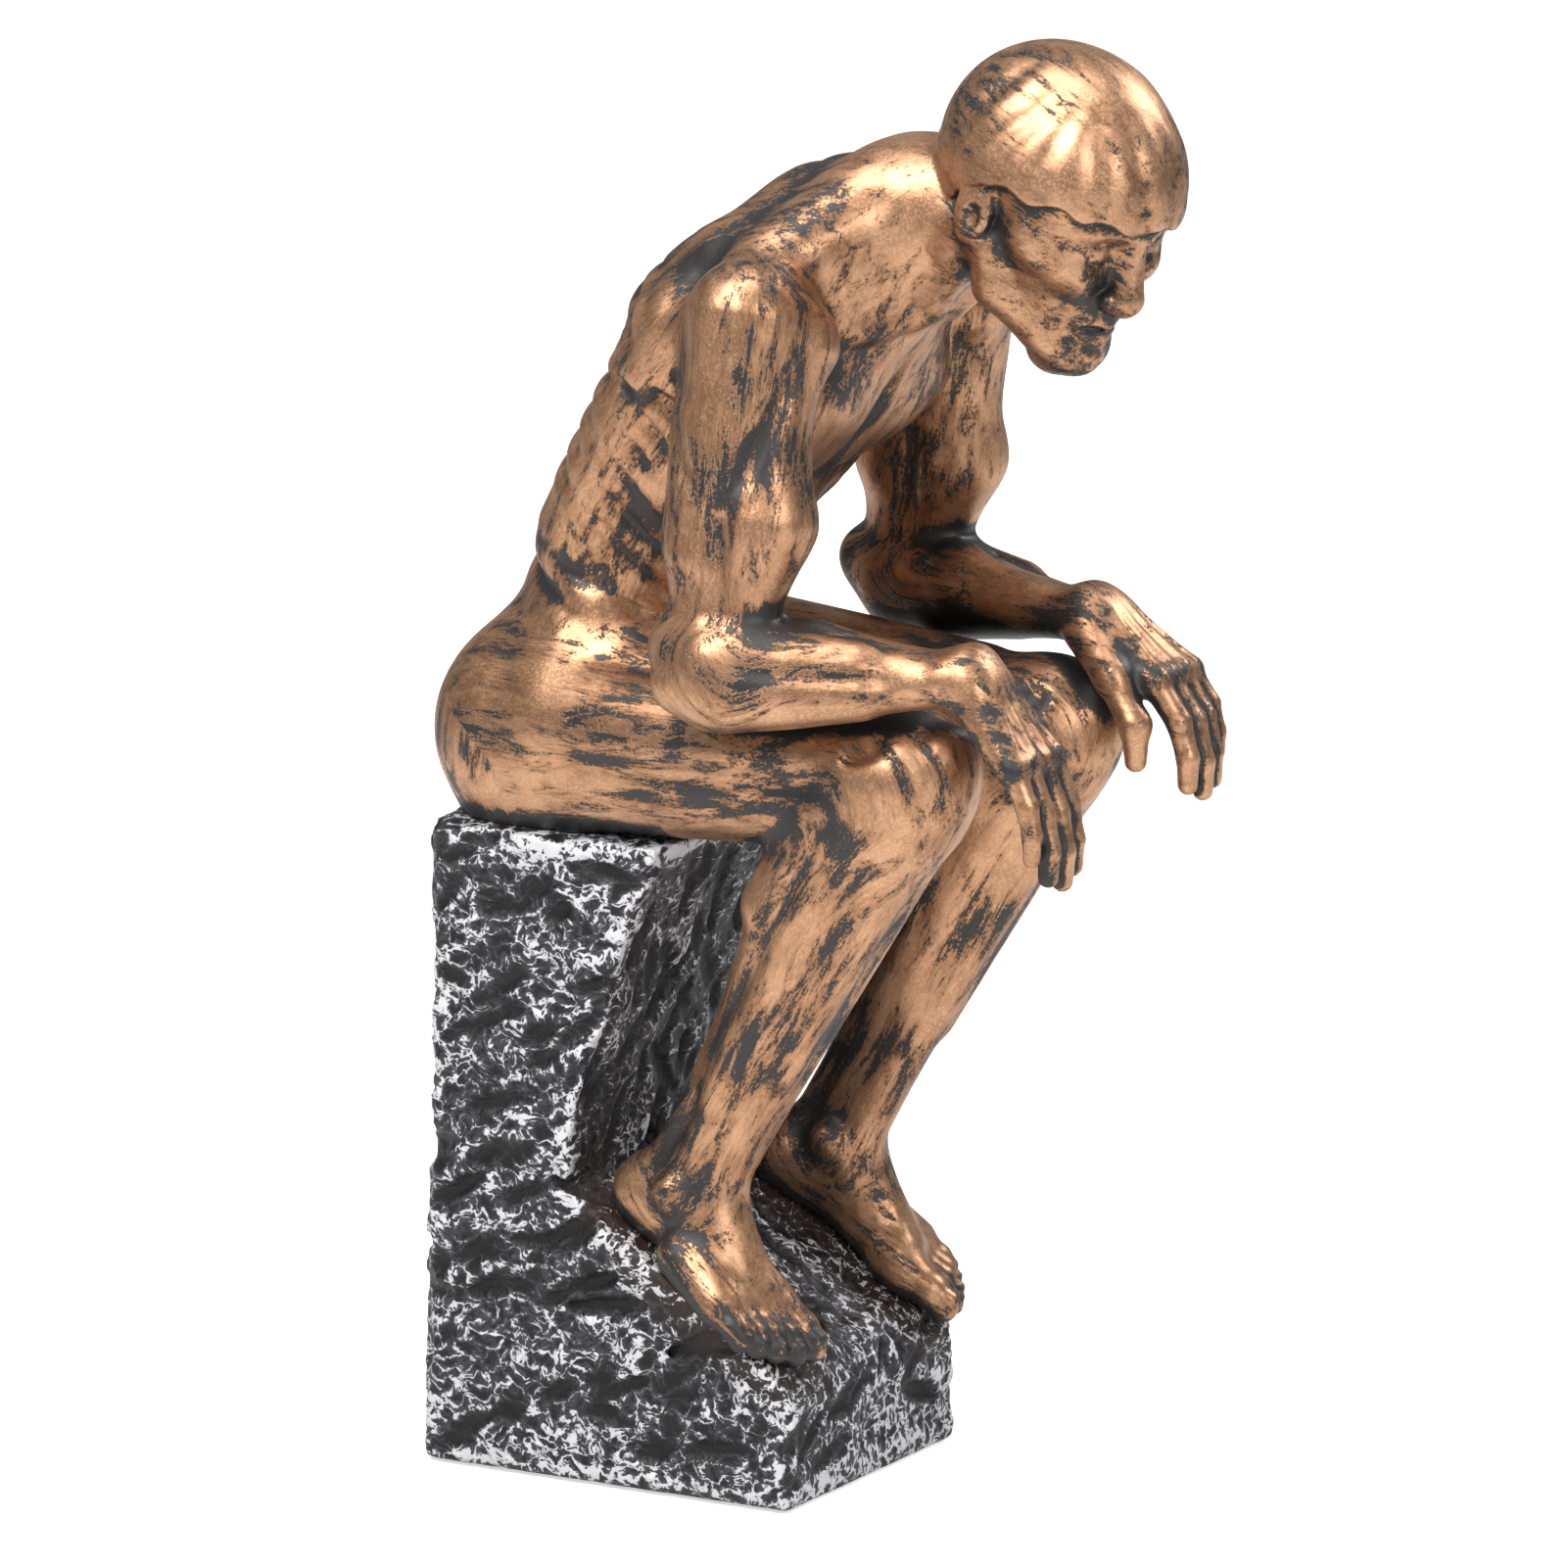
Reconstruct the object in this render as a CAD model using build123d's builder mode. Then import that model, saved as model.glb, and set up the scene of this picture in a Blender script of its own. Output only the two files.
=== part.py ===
"""A seated figure resting its forearms on its thighs, on a rough-hewn rock.

It is a sectional casting: torso, head, arms and legs are separate castings that meet
in glued joints with steel pins, and a threaded stud holds the figure to a hollow rock
with a ballast block, a closing plate and a felt sheet under it.
Millimetres, +Z up. The origin is in the middle of the rock's foot, on the floor.
The figure faces -Y, so its right side is at -X.
"""

import os
from math import cos, radians, sin

from build123d import *

os.makedirs("parts", exist_ok=True)

# Rock
ROCK_LENGTH = 86.0  # front to back
ROCK_WIDTH = 72.0  # side to side
SEAT_HEIGHT = 128.0
SEAT_DEPTH = 58.0  # back of the rock to the front edge of the seat
SEAT_UNDERCUT = 22.0  # how far the front falls back below the seat's edge
STRATUM_HEIGHT = 58.0  # the lower bed, which stands out at the back
STRATUM_STEP = 3.5
LEDGE_BACK_HEIGHT = 59.0  # the sloping ledge that carries the feet
LEDGE_FRONT_HEIGHT = 29.0
NOSE_SETBACK = 5.0  # the broken front edge of the ledge
NOSE_DROP = 7.0
ROCK_BEVEL = 3.0
FACET_DEPTH = 4.0  # how deep the broken upright corners are cut at the foot
FACET_TILT = 2.0  # degrees
DISH_RADIUS = 36.0  # of the shallow hollows that the hewing left
DISH_DEPTH = 2.2
ROCK_WALL = 7.0

# Foot of the rock
FELT_THICKNESS = 1.2
FELT_PROUD = 0.5  # the felt stands this far below the rock's rim
FELT_INSET = 1.5
PLATE_THICKNESS = 3.0
PLATE_REBATE = 2.5  # the plate's seat reaches this far into the wall
PLATE_CLEARANCE = 0.3
BALLAST_HEIGHT = 40.0

# Legs
HIP_SPREAD = 17.0  # each hip from the middle
HIP_BACK = 20.0  # hips behind the middle of the rock
HIP_RISE = 20.0  # hips above the seat
KNEE_SPREAD = 28.5
KNEE_FORWARD = 64.0
KNEE_RISE = 17.0
THIGH_RADIUS = 21.0
KNEE_RADIUS = 15.0
CALF_RADIUS = 14.5
LEG_GAP = 0.6  # between the two legs at the crotch

# Feet
HEEL_FORWARD = -2.0  # back of the heel, from the middle of the rock
FOOT_STAGGER = 3.0  # the left foot stands this far ahead of the right
FOOT_SPREAD = 23.0
FOOT_LENGTH = 51.0
FOOT_WIDTH = 21.0
TOE_OUT = 9.0  # degrees
ANKLE_SETBACK = 12.5  # ankle, from the back of the heel
ANKLE_RISE = 15.0
ANKLE_RADIUS = 8.0
TOE_RADIUS = 2.9
TOE_LENGTH = 10.5
SOLE_SINK = 0.8  # the soles are bedded this deep in the ledge

# Torso
TORSO_LENGTH = 140.0  # along the back's curve, from the seat to the neck
PELVIS_LEAN = 6.0  # degrees from upright, at the seat
COLLAR_LEAN = 56.0  # degrees from upright, at the neck
SHOULDER_WIDTH = 90.0
CHEST_DEPTH = 49.0
GLUTE_RADIUS = 22.0

# Arms
SHOULDER_SPREAD = 38.0
SHOULDER_FORWARD = 4.0
DELTOID_RADIUS = 14.5
SHOULDER_JOINT = 31.0  # the joint faces of the arms, from the middle
UPPER_ARM_RADIUS = 12.0
ELBOW_RADIUS = 10.0
FOREARM_RADIUS = 10.5
WRIST_RADIUS = 6.0
ELBOW_ROLL = 52.0  # degrees outwards from the top of the thigh
WRIST_ROLL = 14.0
RIGHT_WRIST_AHEAD = 18.0  # of the knee
LEFT_WRIST_AHEAD = 8.0
ARM_REST_GAP = 1.2  # flesh between the bones of arm and thigh

# Hands
PALM_LENGTH = 19.5
PALM_WIDTH = 19.5
PALM_THICKNESS = 9.0
FINGER_LENGTH = 22.5
FINGER_RADIUS = 2.65
RIGHT_PALM_DROP = 52.0  # degrees below level
LEFT_PALM_DROP = 34.0
RIGHT_FINGER_DROP = 72.0
LEFT_FINGER_DROP = 66.0
FINGERTIP_DROP = 84.0

# Neck and head
NECK_LENGTH = 13.0
NECK_RADIUS = 13.5
NECK_LEAN = 60.0  # degrees from upright
HEAD_HEIGHT = 53.0
HEAD_WIDTH = 37.5
HEAD_DEPTH = 46.0
HEAD_BOW = 26.0  # degrees
HEAD_TURN = 12.0  # degrees towards the right shoulder
HEAD_FORWARD = 10.5  # middle of the head ahead of the neck's upper end
HEAD_DROP = 2.5  # and below it
HAIR_THICKNESS = 2.4
HAIR_TILT = 10.0  # degrees the hair's edge rises towards the brow

# Pins, stud and nut
PIN_RADIUS = 2.0
PIN_LENGTH = 24.0
FOOT_PIN_RADIUS = 1.5
FOOT_PIN_LENGTH = 10.0
GLUE_GAP = 0.1
STUD_RADIUS = 2.5
STUD_EMBEDDED = 26.0
STUD_BELOW = 11.0  # below the seat's wall
STUD_CLEARANCE = 0.3
WASHER_RADIUS = 6.0
WASHER_THICKNESS = 1.0
NUT_ACROSS_FLATS = 8.0
NUT_THICKNESS = 4.0
OVERRUN = 5.0  # what every cut runs past its face

SIDES = {"right": -1, "left": 1}

# Shares of the limb's own radius along each bone: (along, wide, deep, back)
THIGH_SHARES = [
    (0.06, 1.0, 1.0, 0.0),
    (0.26, 0.98, 1.0, 0.0),
    (0.50, 0.88, 0.92, 0.0),
    (0.74, 0.75, 0.79, 0.0),
    (0.90, 0.66, 0.70, 0.0),
    (1.00, 0.64, 0.66, 0.0),
]
CALF_SHARES = [
    (0.00, 0.90, 0.94, 0.00),
    (0.14, 0.88, 0.98, 0.10),
    (0.32, 0.96, 1.04, 0.22),
    (0.54, 0.82, 0.86, 0.14),
    (0.78, 0.60, 0.62, 0.02),
    (1.00, 0.54, 0.58, 0.00),
]
UPPER_ARM_SHARES = [
    (0.00, 1.05, 1.05, 0.0),
    (0.35, 0.98, 1.06, 0.0),
    (0.65, 0.90, 0.96, 0.0),
    (1.00, 0.80, 0.84, 0.0),
]
FOREARM_SHARES = [
    (0.00, 0.92, 0.92, 0.0),
    (0.24, 1.00, 0.98, 0.0),
    (0.55, 0.82, 0.78, 0.0),
    (0.85, 0.63, 0.54, 0.0),
    (1.00, 0.64, 0.50, 0.0),
]
NECK_SHARES = [
    (0.00, 1.16, 1.10, 0.0),
    (0.40, 1.00, 1.00, 0.0),
    (1.60, 0.96, 1.02, 0.0),
]
# Torso sections: (along the back's curve, half width by shoulder width, then half depth and place
# forward by chest depth)
TORSO_SHARES = [
    (-0.04, 0.340, 0.440, 0.00),
    (0.14, 0.350, 0.450, 0.00),
    (0.32, 0.290, 0.370, 0.01),
    (0.52, 0.315, 0.405, 0.02),
    (0.72, 0.365, 0.445, 0.02),
    (0.88, 0.325, 0.395, 0.00),
    (0.99, 0.215, 0.320, -0.02),
    (1.07, 0.150, 0.245, -0.02),
]
# Torso muscles of each side, as two ends: (along the back's curve, out by shoulder width, then
# forward and radius by chest depth)
TORSO_MUSCLE_SHARES = [
    ((0.24, 0.095, -0.235, 0.150), (0.62, 0.105, -0.295, 0.155)),
    ((0.62, 0.105, -0.295, 0.155), (0.90, 0.090, -0.295, 0.115)),
    ((0.40, 0.210, -0.145, 0.195), (0.76, 0.328, -0.165, 0.215)),
    ((1.02, 0.055, -0.145, 0.215), (0.90, 0.333, -0.105, 0.175)),
    ((0.92, 0.067, -0.265, 0.185), (0.84, 0.267, -0.265, 0.155)),
    ((0.22, 0.245, 0.020, 0.155), (0.31, 0.240, 0.060, 0.135)),
    ((0.58, 0.240, 0.135, 0.205), (0.70, 0.272, 0.110, 0.185)),
]
# Breast and shoulder blade of each side: place as above, then half width by shoulder width,
# half height and half depth by chest depth
TORSO_PLATE_SHARES = [
    ((0.745, 0.172, 0.315), (0.190, 0.275, 0.165)),
    ((0.755, 0.222, -0.325), (0.106, 0.305, 0.125)),
]
# Foot sections: (along the foot, half width by foot width, height by ankle rise)
FOOT_SHARES = [
    (0.00, 0.22, 0.55),
    (0.12, 0.36, 1.05),
    (0.34, 0.38, 1.22),
    (0.56, 0.44, 0.84),
    (0.70, 0.48, 0.58),
    (0.80, 0.46, 0.42),
]
# Face sections: (height by half the head, half width, half depth and place forward by head depth)
FACE_SHARES = [
    (0.34, 0.36, 0.385, 0.080),
    (-0.08, 0.34, 0.350, 0.115),
    (-0.46, 0.285, 0.300, 0.150),
    (-0.78, 0.205, 0.205, 0.235),
    (-0.98, 0.120, 0.110, 0.300),
]
FINGER_LENGTH_SHARES = [0.92, 1.0, 0.95, 0.78]
FINGER_PLACE_SHARES = [-0.75, -0.25, 0.25, 0.75]
TOE_PLACE_SHARES = [-0.74, -0.34, 0.02, 0.36, 0.68]
TOE_SIZE_SHARES = [1.3, 1.0, 0.95, 0.88, 0.84]
TOE_REACH_SHARES = [1.0, 1.02, 0.92, 0.78, 0.62]
TOE_ROOT_SHARE = 0.73  # along the foot
TOE_TIP_SHARE = 0.9
KNEECAP_WIDTH_SHARE = 0.94
DELTOID_HEIGHT_SHARE = 1.15
# Hand: palm sections as (along, half width by half the palm, half thickness by half the palm)
PALM_SHARES = [(0.0, 0.68, 1.14), (0.5, 0.94, 1.0), (1.0, 1.0, 0.8)]
PALM_INWARD_SHARE = 0.06
FINGER_ROOT_SHARE = 1.12
FINGERTIP_SHARE = 0.8
THUMB_ROOT_SHARES = (0.35, 0.7)  # along the palm, across half the palm
THUMB_SPLAY_SHARE = 0.7
THUMB_INWARD_SHARE = 0.2
THUMB_LENGTH_SHARE = 0.45  # each of its two bones, by the finger length
THUMB_RADIUS_SHARES = (1.4, 1.15, 0.85)
# Head places as (across half the width, back by the depth, up by half the height)
SKULL_SHARES = (0.0, 0.035, 0.29)
SKULL_HEIGHT_SHARE = 0.72
NOSE_BRIDGE_SHARES = (0.0, -0.43, 0.12)
NOSE_TIP_SHARES = (0.0, -0.525, -0.27)
NOSE_RADIUS_SHARES = (0.06, 0.085)  # by the head's width
EAR_SHARES = (0.97, 0.06, -0.06)
EAR_SIZE_SHARES = (0.06, 0.09, 0.24)  # by width, depth and half height
HAIR_EDGE_SHARES = (0.0, 0.06, 0.16)
# Seat muscles: half sizes by the glute radius, and place along the back's curve
GLUTE_SHARES = (0.86, 1.0, 0.95)
GLUTE_PLACE_SHARE = 0.13
SHOULDER_SHARE = 0.86  # of the back's curve
RIGHT_ELBOW_SHARE = 0.66  # of the thigh
LEFT_ELBOW_SHARE = 0.50
JOINT_SHARE = THIGH_SHARES[0][0]  # the hip joint's face, along the thigh


# How each arm lies: elbow along the thigh, wrist ahead of the knee, drop of palm and fingers
ARM_POSES = {
    "right": (RIGHT_ELBOW_SHARE, RIGHT_WRIST_AHEAD, RIGHT_PALM_DROP, RIGHT_FINGER_DROP),
    "left": (LEFT_ELBOW_SHARE, LEFT_WRIST_AHEAD, LEFT_PALM_DROP, LEFT_FINGER_DROP),
}


# Places worked out from the sizes
rock_bottom = FELT_PROUD
rock_back = ROCK_LENGTH / 2
rock_front = -ROCK_LENGTH / 2
seat_front = rock_back - SEAT_DEPTH
ledge_back = seat_front + SEAT_UNDERCUT
ledge_front = rock_front + NOSE_SETBACK
ledge_run = ledge_back - ledge_front
ledge_fall = LEDGE_BACK_HEIGHT - LEDGE_FRONT_HEIGHT
ledge_down = Vector(0, -ledge_run, -ledge_fall).normalized()
ledge_normal = Vector(0, -ledge_fall, ledge_run).normalized()


def ledge_point(x, y):
    """The point of the foot ledge over a place in the plan."""
    return Vector(x, y, LEDGE_BACK_HEIGHT - (ledge_back - y) * ledge_fall / ledge_run)


def back_curve(along):
    """Place of the torso's axis, and its direction, at a share of its length."""
    start, end = radians(PELVIS_LEAN), radians(COLLAR_LEAN)
    lean = start + (end - start) * along
    radius = TORSO_LENGTH / (end - start)
    place = Vector(
        0,
        HIP_BACK - radius * (cos(start) - cos(lean)),
        SEAT_HEIGHT + radius * (sin(lean) - sin(start)),
    )
    return place, Vector(0, -sin(lean), cos(lean))


def drop(side, degrees, inward_share):
    """A direction that points forward, down by an angle and a little inwards."""
    angle = radians(degrees)
    return Vector(-side * inward_share, -cos(angle), -sin(angle)).normalized()


def skeleton(name, foot_ahead):
    """The joints of one leg and one arm, by name."""
    side = SIDES[name]
    elbow_share, wrist_ahead, _, _ = ARM_POSES[name]
    hip = Vector(side * HIP_SPREAD, HIP_BACK, SEAT_HEIGHT + HIP_RISE)
    knee = Vector(side * KNEE_SPREAD, -KNEE_FORWARD, SEAT_HEIGHT + KNEE_RISE)
    heel = ledge_point(side * FOOT_SPREAD, -HEEL_FORWARD - foot_ahead)
    toward = ledge_down.rotate(Axis((0, 0, 0), ledge_normal), side * TOE_OUT)
    ankle = heel + toward * ANKLE_SETBACK + ledge_normal * ANKLE_RISE
    shoulder_place, shoulder_up = back_curve(SHOULDER_SHARE)
    forward = Vector(0, -shoulder_up.Z, shoulder_up.Y)
    shoulder = shoulder_place + forward * SHOULDER_FORWARD + Vector(side * SHOULDER_SPREAD, 0, 0)
    roll = radians(ELBOW_ROLL)
    outward = Vector(side * sin(roll), 0, cos(roll))
    elbow = hip + (knee - hip) * elbow_share
    elbow += outward * (THIGH_RADIUS + ELBOW_RADIUS + ARM_REST_GAP)
    roll = radians(WRIST_ROLL)
    outward = Vector(side * sin(roll), 0, cos(roll))
    wrist = knee + outward * (KNEE_RADIUS + WRIST_RADIUS + ARM_REST_GAP)
    wrist += Vector(0, -wrist_ahead, 0)
    return {
        "hip": hip,
        "knee": knee,
        "heel": heel,
        "toward": toward,
        "ankle": ankle,
        "shoulder": shoulder,
        "elbow": elbow,
        "wrist": wrist,
    }


bones = {
    "right": skeleton("right", 0),
    "left": skeleton("left", FOOT_STAGGER),
}


# Forms that several castings share
def limb(start, end, shares, radius, across, back):
    """A lofted limb along one bone. Its sections are ellipses set back by a share."""
    axis = end - start
    with BuildPart() as form:
        for along, wide, deep, set_back in shares:
            origin = start + axis * along + back * (radius * set_back)
            with BuildSketch(Plane(origin=origin, x_dir=across, z_dir=axis)):
                Ellipse(radius * wide, radius * deep)
        loft()
    return form.part


def rod(start, end, start_radius, end_radius):
    """A tapered rod with round ends."""
    axis = end - start
    with BuildPart(Plane(origin=start, z_dir=axis)) as form:
        Cone(start_radius, end_radius, axis.length, align=(Align.CENTER, Align.CENTER, Align.MIN))
        Sphere(start_radius)
        with Locations((0, 0, axis.length)):
            Sphere(end_radius)
    return form.part


def ellipsoid(plane, half_x, half_y, half_z):
    """A unit ball scaled to three half sizes on a plane."""
    with BuildPart() as form:
        Sphere(1)
        scale(by=(half_x, half_y, half_z))
    return plane.location * form.part


def belly(start, end, start_radius, end_radius):
    """A muscle's belly: an ellipsoid between two round ends, as thick as their mean."""
    axis = end - start
    radius = (start_radius + end_radius) / 2
    middle = Plane(origin=start + axis / 2, z_dir=axis)
    return ellipsoid(middle, radius, radius, axis.length / 2 + radius)


def pin(middle, axis, radius, length):
    """A straight pin about its middle."""
    with BuildPart(Plane(origin=middle, z_dir=axis)) as form:
        Cylinder(radius, length)
    return form.part


# Rock outline in the side view: (place along Y, height)
def rock_outline():
    return [
        (rock_back, rock_bottom),
        (rock_back, STRATUM_HEIGHT),
        (rock_back - STRATUM_STEP, STRATUM_HEIGHT + STRATUM_STEP),
        (rock_back - STRATUM_STEP / 2, SEAT_HEIGHT),
        (seat_front, SEAT_HEIGHT),
        (ledge_back, LEDGE_BACK_HEIGHT),
        (ledge_front, LEDGE_FRONT_HEIGHT),
        (rock_front, LEDGE_FRONT_HEIGHT - NOSE_DROP),
        (rock_front, rock_bottom),
    ]


# The broken upright corners: (side, end, tilt by the facet tilt, depth by the facet depth)
FACET_SHARES = [
    (-1, 1, 0.6, 0.8),
    (1, 1, 0.9, 1.0),
    (-1, -1, 1.0, 0.5),
    (1, -1, 0.4, 1.2),
]

# Hollows: (place along the rock or across it, height by the seat's height, depth by the dish depth)
SIDE_DISH_SHARES = [
    (0.40, 0.09, 0.9),
    (0.13, 0.08, 1.0),
    (-0.13, 0.09, 0.8),
    (-0.37, 0.08, 0.7),
    (0.46, 0.28, 0.7),
    (0.24, 0.25, 1.1),
    (0.00, 0.27, 0.9),
    (-0.24, 0.23, 1.0),
    (0.36, 0.41, 0.8),
    (0.12, 0.43, 1.0),
    (0.42, 0.57, 1.0),
    (0.20, 0.60, 0.8),
    (0.34, 0.74, 1.1),
    (0.09, 0.77, 0.9),
    (0.41, 0.88, 0.6),
    (0.18, 0.90, 0.7),
    (-0.04, 0.88, 0.8),
]
BACK_DISH_SHARES = [
    (-0.30, 0.09, 0.9),
    (0.02, 0.08, 0.8),
    (0.31, 0.10, 1.0),
    (-0.16, 0.27, 1.0),
    (0.15, 0.26, 0.9),
    (-0.33, 0.40, 0.8),
    (0.00, 0.40, 0.9),
    (0.34, 0.41, 0.8),
    (-0.19, 0.58, 1.0),
    (0.13, 0.60, 1.0),
    (0.38, 0.63, 0.7),
    (-0.34, 0.75, 0.7),
    (-0.04, 0.77, 0.8),
    (0.27, 0.80, 0.8),
    (-0.21, 0.90, 0.6),
    (0.06, 0.91, 0.6),
]
FRONT_DISH_SHARES = [(-0.29, 0.08, 0.8), (0.03, 0.09, 0.9), (0.32, 0.08, 0.8)]
dish_centres = []
for place, up, depth in SIDE_DISH_SHARES:
    across = ROCK_WIDTH / 2 + DISH_RADIUS - DISH_DEPTH * depth
    for side in SIDES.values():
        dish_centres.append((side * across, ROCK_LENGTH * place, SEAT_HEIGHT * up))
for place, up, depth in BACK_DISH_SHARES:
    step = STRATUM_STEP if SEAT_HEIGHT * up > STRATUM_HEIGHT else 0
    behind = rock_back - step + DISH_RADIUS - DISH_DEPTH * depth
    dish_centres.append((ROCK_WIDTH * place, behind, SEAT_HEIGHT * up))
for place, up, depth in FRONT_DISH_SHARES:
    before = rock_front - DISH_RADIUS + DISH_DEPTH * depth
    dish_centres.append((ROCK_WIDTH * place, before, SEAT_HEIGHT * up))

with BuildPart() as rock_form:
    with BuildSketch(Plane.YZ):
        with BuildLine():
            Polyline(*rock_outline(), close=True)
        make_face()
    extrude(amount=ROCK_WIDTH / 2, both=True)
    side_faces = rock_form.faces().filter_by(Axis.X)
    chamfer(side_faces.edges(), ROCK_BEVEL)
    for side, end, tilt_share, depth_share in FACET_SHARES:
        corner = Vector(side * ROCK_WIDTH / 2, end * ROCK_LENGTH / 2, rock_bottom)
        outward = Vector(side, end, sin(radians(FACET_TILT * tilt_share))).normalized()
        facet = Plane(origin=corner - outward * FACET_DEPTH * depth_share, z_dir=outward)
        split(bisect_by=facet, keep=Keep.BOTTOM)
    with Locations(*dish_centres):
        Sphere(DISH_RADIUS, mode=Mode.SUBTRACT)

with BuildPart() as cavity:
    with BuildSketch(Plane.YZ):
        with BuildLine():
            Polyline(*rock_outline(), close=True)
        make_face()
        offset(amount=-ROCK_WALL, kind=Kind.INTERSECTION)
    extrude(amount=ROCK_WIDTH / 2 - ROCK_WALL, both=True)

plate_bottom = rock_bottom + FELT_THICKNESS - FELT_PROUD
plate_top = plate_bottom + PLATE_THICKNESS
opening_length = ROCK_LENGTH - 2 * ROCK_WALL
opening_width = ROCK_WIDTH - 2 * ROCK_WALL
with BuildPart() as mouth:
    with BuildSketch(Plane.XY.offset(plate_top)):
        Rectangle(opening_width, opening_length)
    extrude(amount=ROCK_WALL)
    with BuildSketch(Plane.XY.offset(rock_bottom - OVERRUN)):
        Rectangle(opening_width + 2 * PLATE_REBATE, opening_length + 2 * PLATE_REBATE)
    extrude(amount=plate_top - rock_bottom + OVERRUN)

# Seat stud, which runs from the torso through the seat's wall
stud_foot = Vector(0, HIP_BACK, SEAT_HEIGHT - ROCK_WALL - STUD_BELOW)
stud_length = STUD_BELOW + ROCK_WALL + STUD_EMBEDDED
nut_seat = SEAT_HEIGHT - ROCK_WALL
with BuildPart(Plane(origin=stud_foot)) as seat_stud:
    Cylinder(STUD_RADIUS, stud_length, align=(Align.CENTER, Align.CENTER, Align.MIN))
    chamfer(seat_stud.edges(), STUD_RADIUS / 4)

with BuildPart(Plane(origin=(0, HIP_BACK, nut_seat - WASHER_THICKNESS))) as seat_washer:
    Cylinder(WASHER_RADIUS, WASHER_THICKNESS, align=(Align.CENTER, Align.CENTER, Align.MIN))
    Hole(STUD_RADIUS + STUD_CLEARANCE)

nut_plane = Plane(origin=(0, HIP_BACK, nut_seat - WASHER_THICKNESS - NUT_THICKNESS))
with BuildPart() as seat_nut:
    with BuildSketch(nut_plane):
        RegularPolygon(NUT_ACROSS_FLATS / 2, 6, major_radius=False)
        Circle(STUD_RADIUS, mode=Mode.SUBTRACT)
    extrude(amount=NUT_THICKNESS)

with BuildPart(Plane(origin=stud_foot)) as stud_hole:
    Cylinder(
        STUD_RADIUS + GLUE_GAP,
        stud_length + GLUE_GAP,
        align=(Align.CENTER, Align.CENTER, Align.MIN),
    )

# Pins: a middle and an axis for each joint
joint_pins = {}
foot_pins = {}
for name, side in SIDES.items():
    b = bones[name]
    thigh = b["knee"] - b["hip"]
    joint_pins[name + "_hip_pin"] = (b["hip"] + thigh * JOINT_SHARE, thigh)
    shoulder_joint = Vector(side * SHOULDER_JOINT, b["shoulder"].Y, b["shoulder"].Z)
    joint_pins[name + "_shoulder_pin"] = (shoulder_joint, Vector(side, 0, 0))
    sole = b["heel"] + b["toward"] * ANKLE_SETBACK
    foot_pins[name + "_foot_pin"] = (sole, ledge_normal)
collar, collar_axis = back_curve(TORSO_SHARES[-1][0])
neck_axis = Vector(0, -sin(radians(NECK_LEAN)), cos(radians(NECK_LEAN)))
joint_pins["neck_pin"] = (collar, neck_axis)

pin_forms = {}
pin_holes = {}
for name, (middle, axis) in joint_pins.items():
    pin_forms[name] = pin(middle, axis, PIN_RADIUS, PIN_LENGTH)
    pin_holes[name] = pin(middle, axis, PIN_RADIUS + GLUE_GAP, PIN_LENGTH + 2 * GLUE_GAP)
for name, (middle, axis) in foot_pins.items():
    pin_forms[name] = pin(middle, axis, FOOT_PIN_RADIUS, FOOT_PIN_LENGTH)
    hole_radius = FOOT_PIN_RADIUS + GLUE_GAP
    pin_holes[name] = pin(middle, axis, hole_radius, FOOT_PIN_LENGTH + 2 * GLUE_GAP)

# Rock casting and what closes it
with BuildPart() as rock_base:
    add(rock_form.part)
    add(cavity.part, mode=Mode.SUBTRACT)
    add(mouth.part, mode=Mode.SUBTRACT)
    add(stud_hole.part, mode=Mode.SUBTRACT)
    add([pin_holes[name] for name in foot_pins], mode=Mode.SUBTRACT)

with BuildPart() as ballast_block:
    add(cavity.part)
    add(mouth.part)
    split(bisect_by=Plane.XY.offset(BALLAST_HEIGHT), keep=Keep.BOTTOM)
    split(bisect_by=Plane.XY.offset(plate_top), keep=Keep.TOP)

plate_length = opening_length + 2 * (PLATE_REBATE - PLATE_CLEARANCE)
plate_width = opening_width + 2 * (PLATE_REBATE - PLATE_CLEARANCE)
with BuildPart() as base_plate:
    with BuildSketch(Plane.XY.offset(plate_bottom)):
        Rectangle(plate_width, plate_length)
    extrude(amount=PLATE_THICKNESS)

with BuildPart() as felt_sheet:
    with BuildSketch():
        RectangleRounded(
            plate_width - 2 * FELT_INSET,
            plate_length - 2 * FELT_INSET,
            2 * FELT_INSET,
        )
    extrude(amount=FELT_THICKNESS)


# What the seat takes away from the castings that sit on it
seat_middle = Plane(origin=(0, seat_front + SEAT_DEPTH / 2, SEAT_HEIGHT))
with BuildPart() as seat_cut:
    with BuildSketch(seat_middle):
        Rectangle(2 * ROCK_WIDTH, SEAT_DEPTH)
    extrude(amount=-ROCK_WALL)


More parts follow.
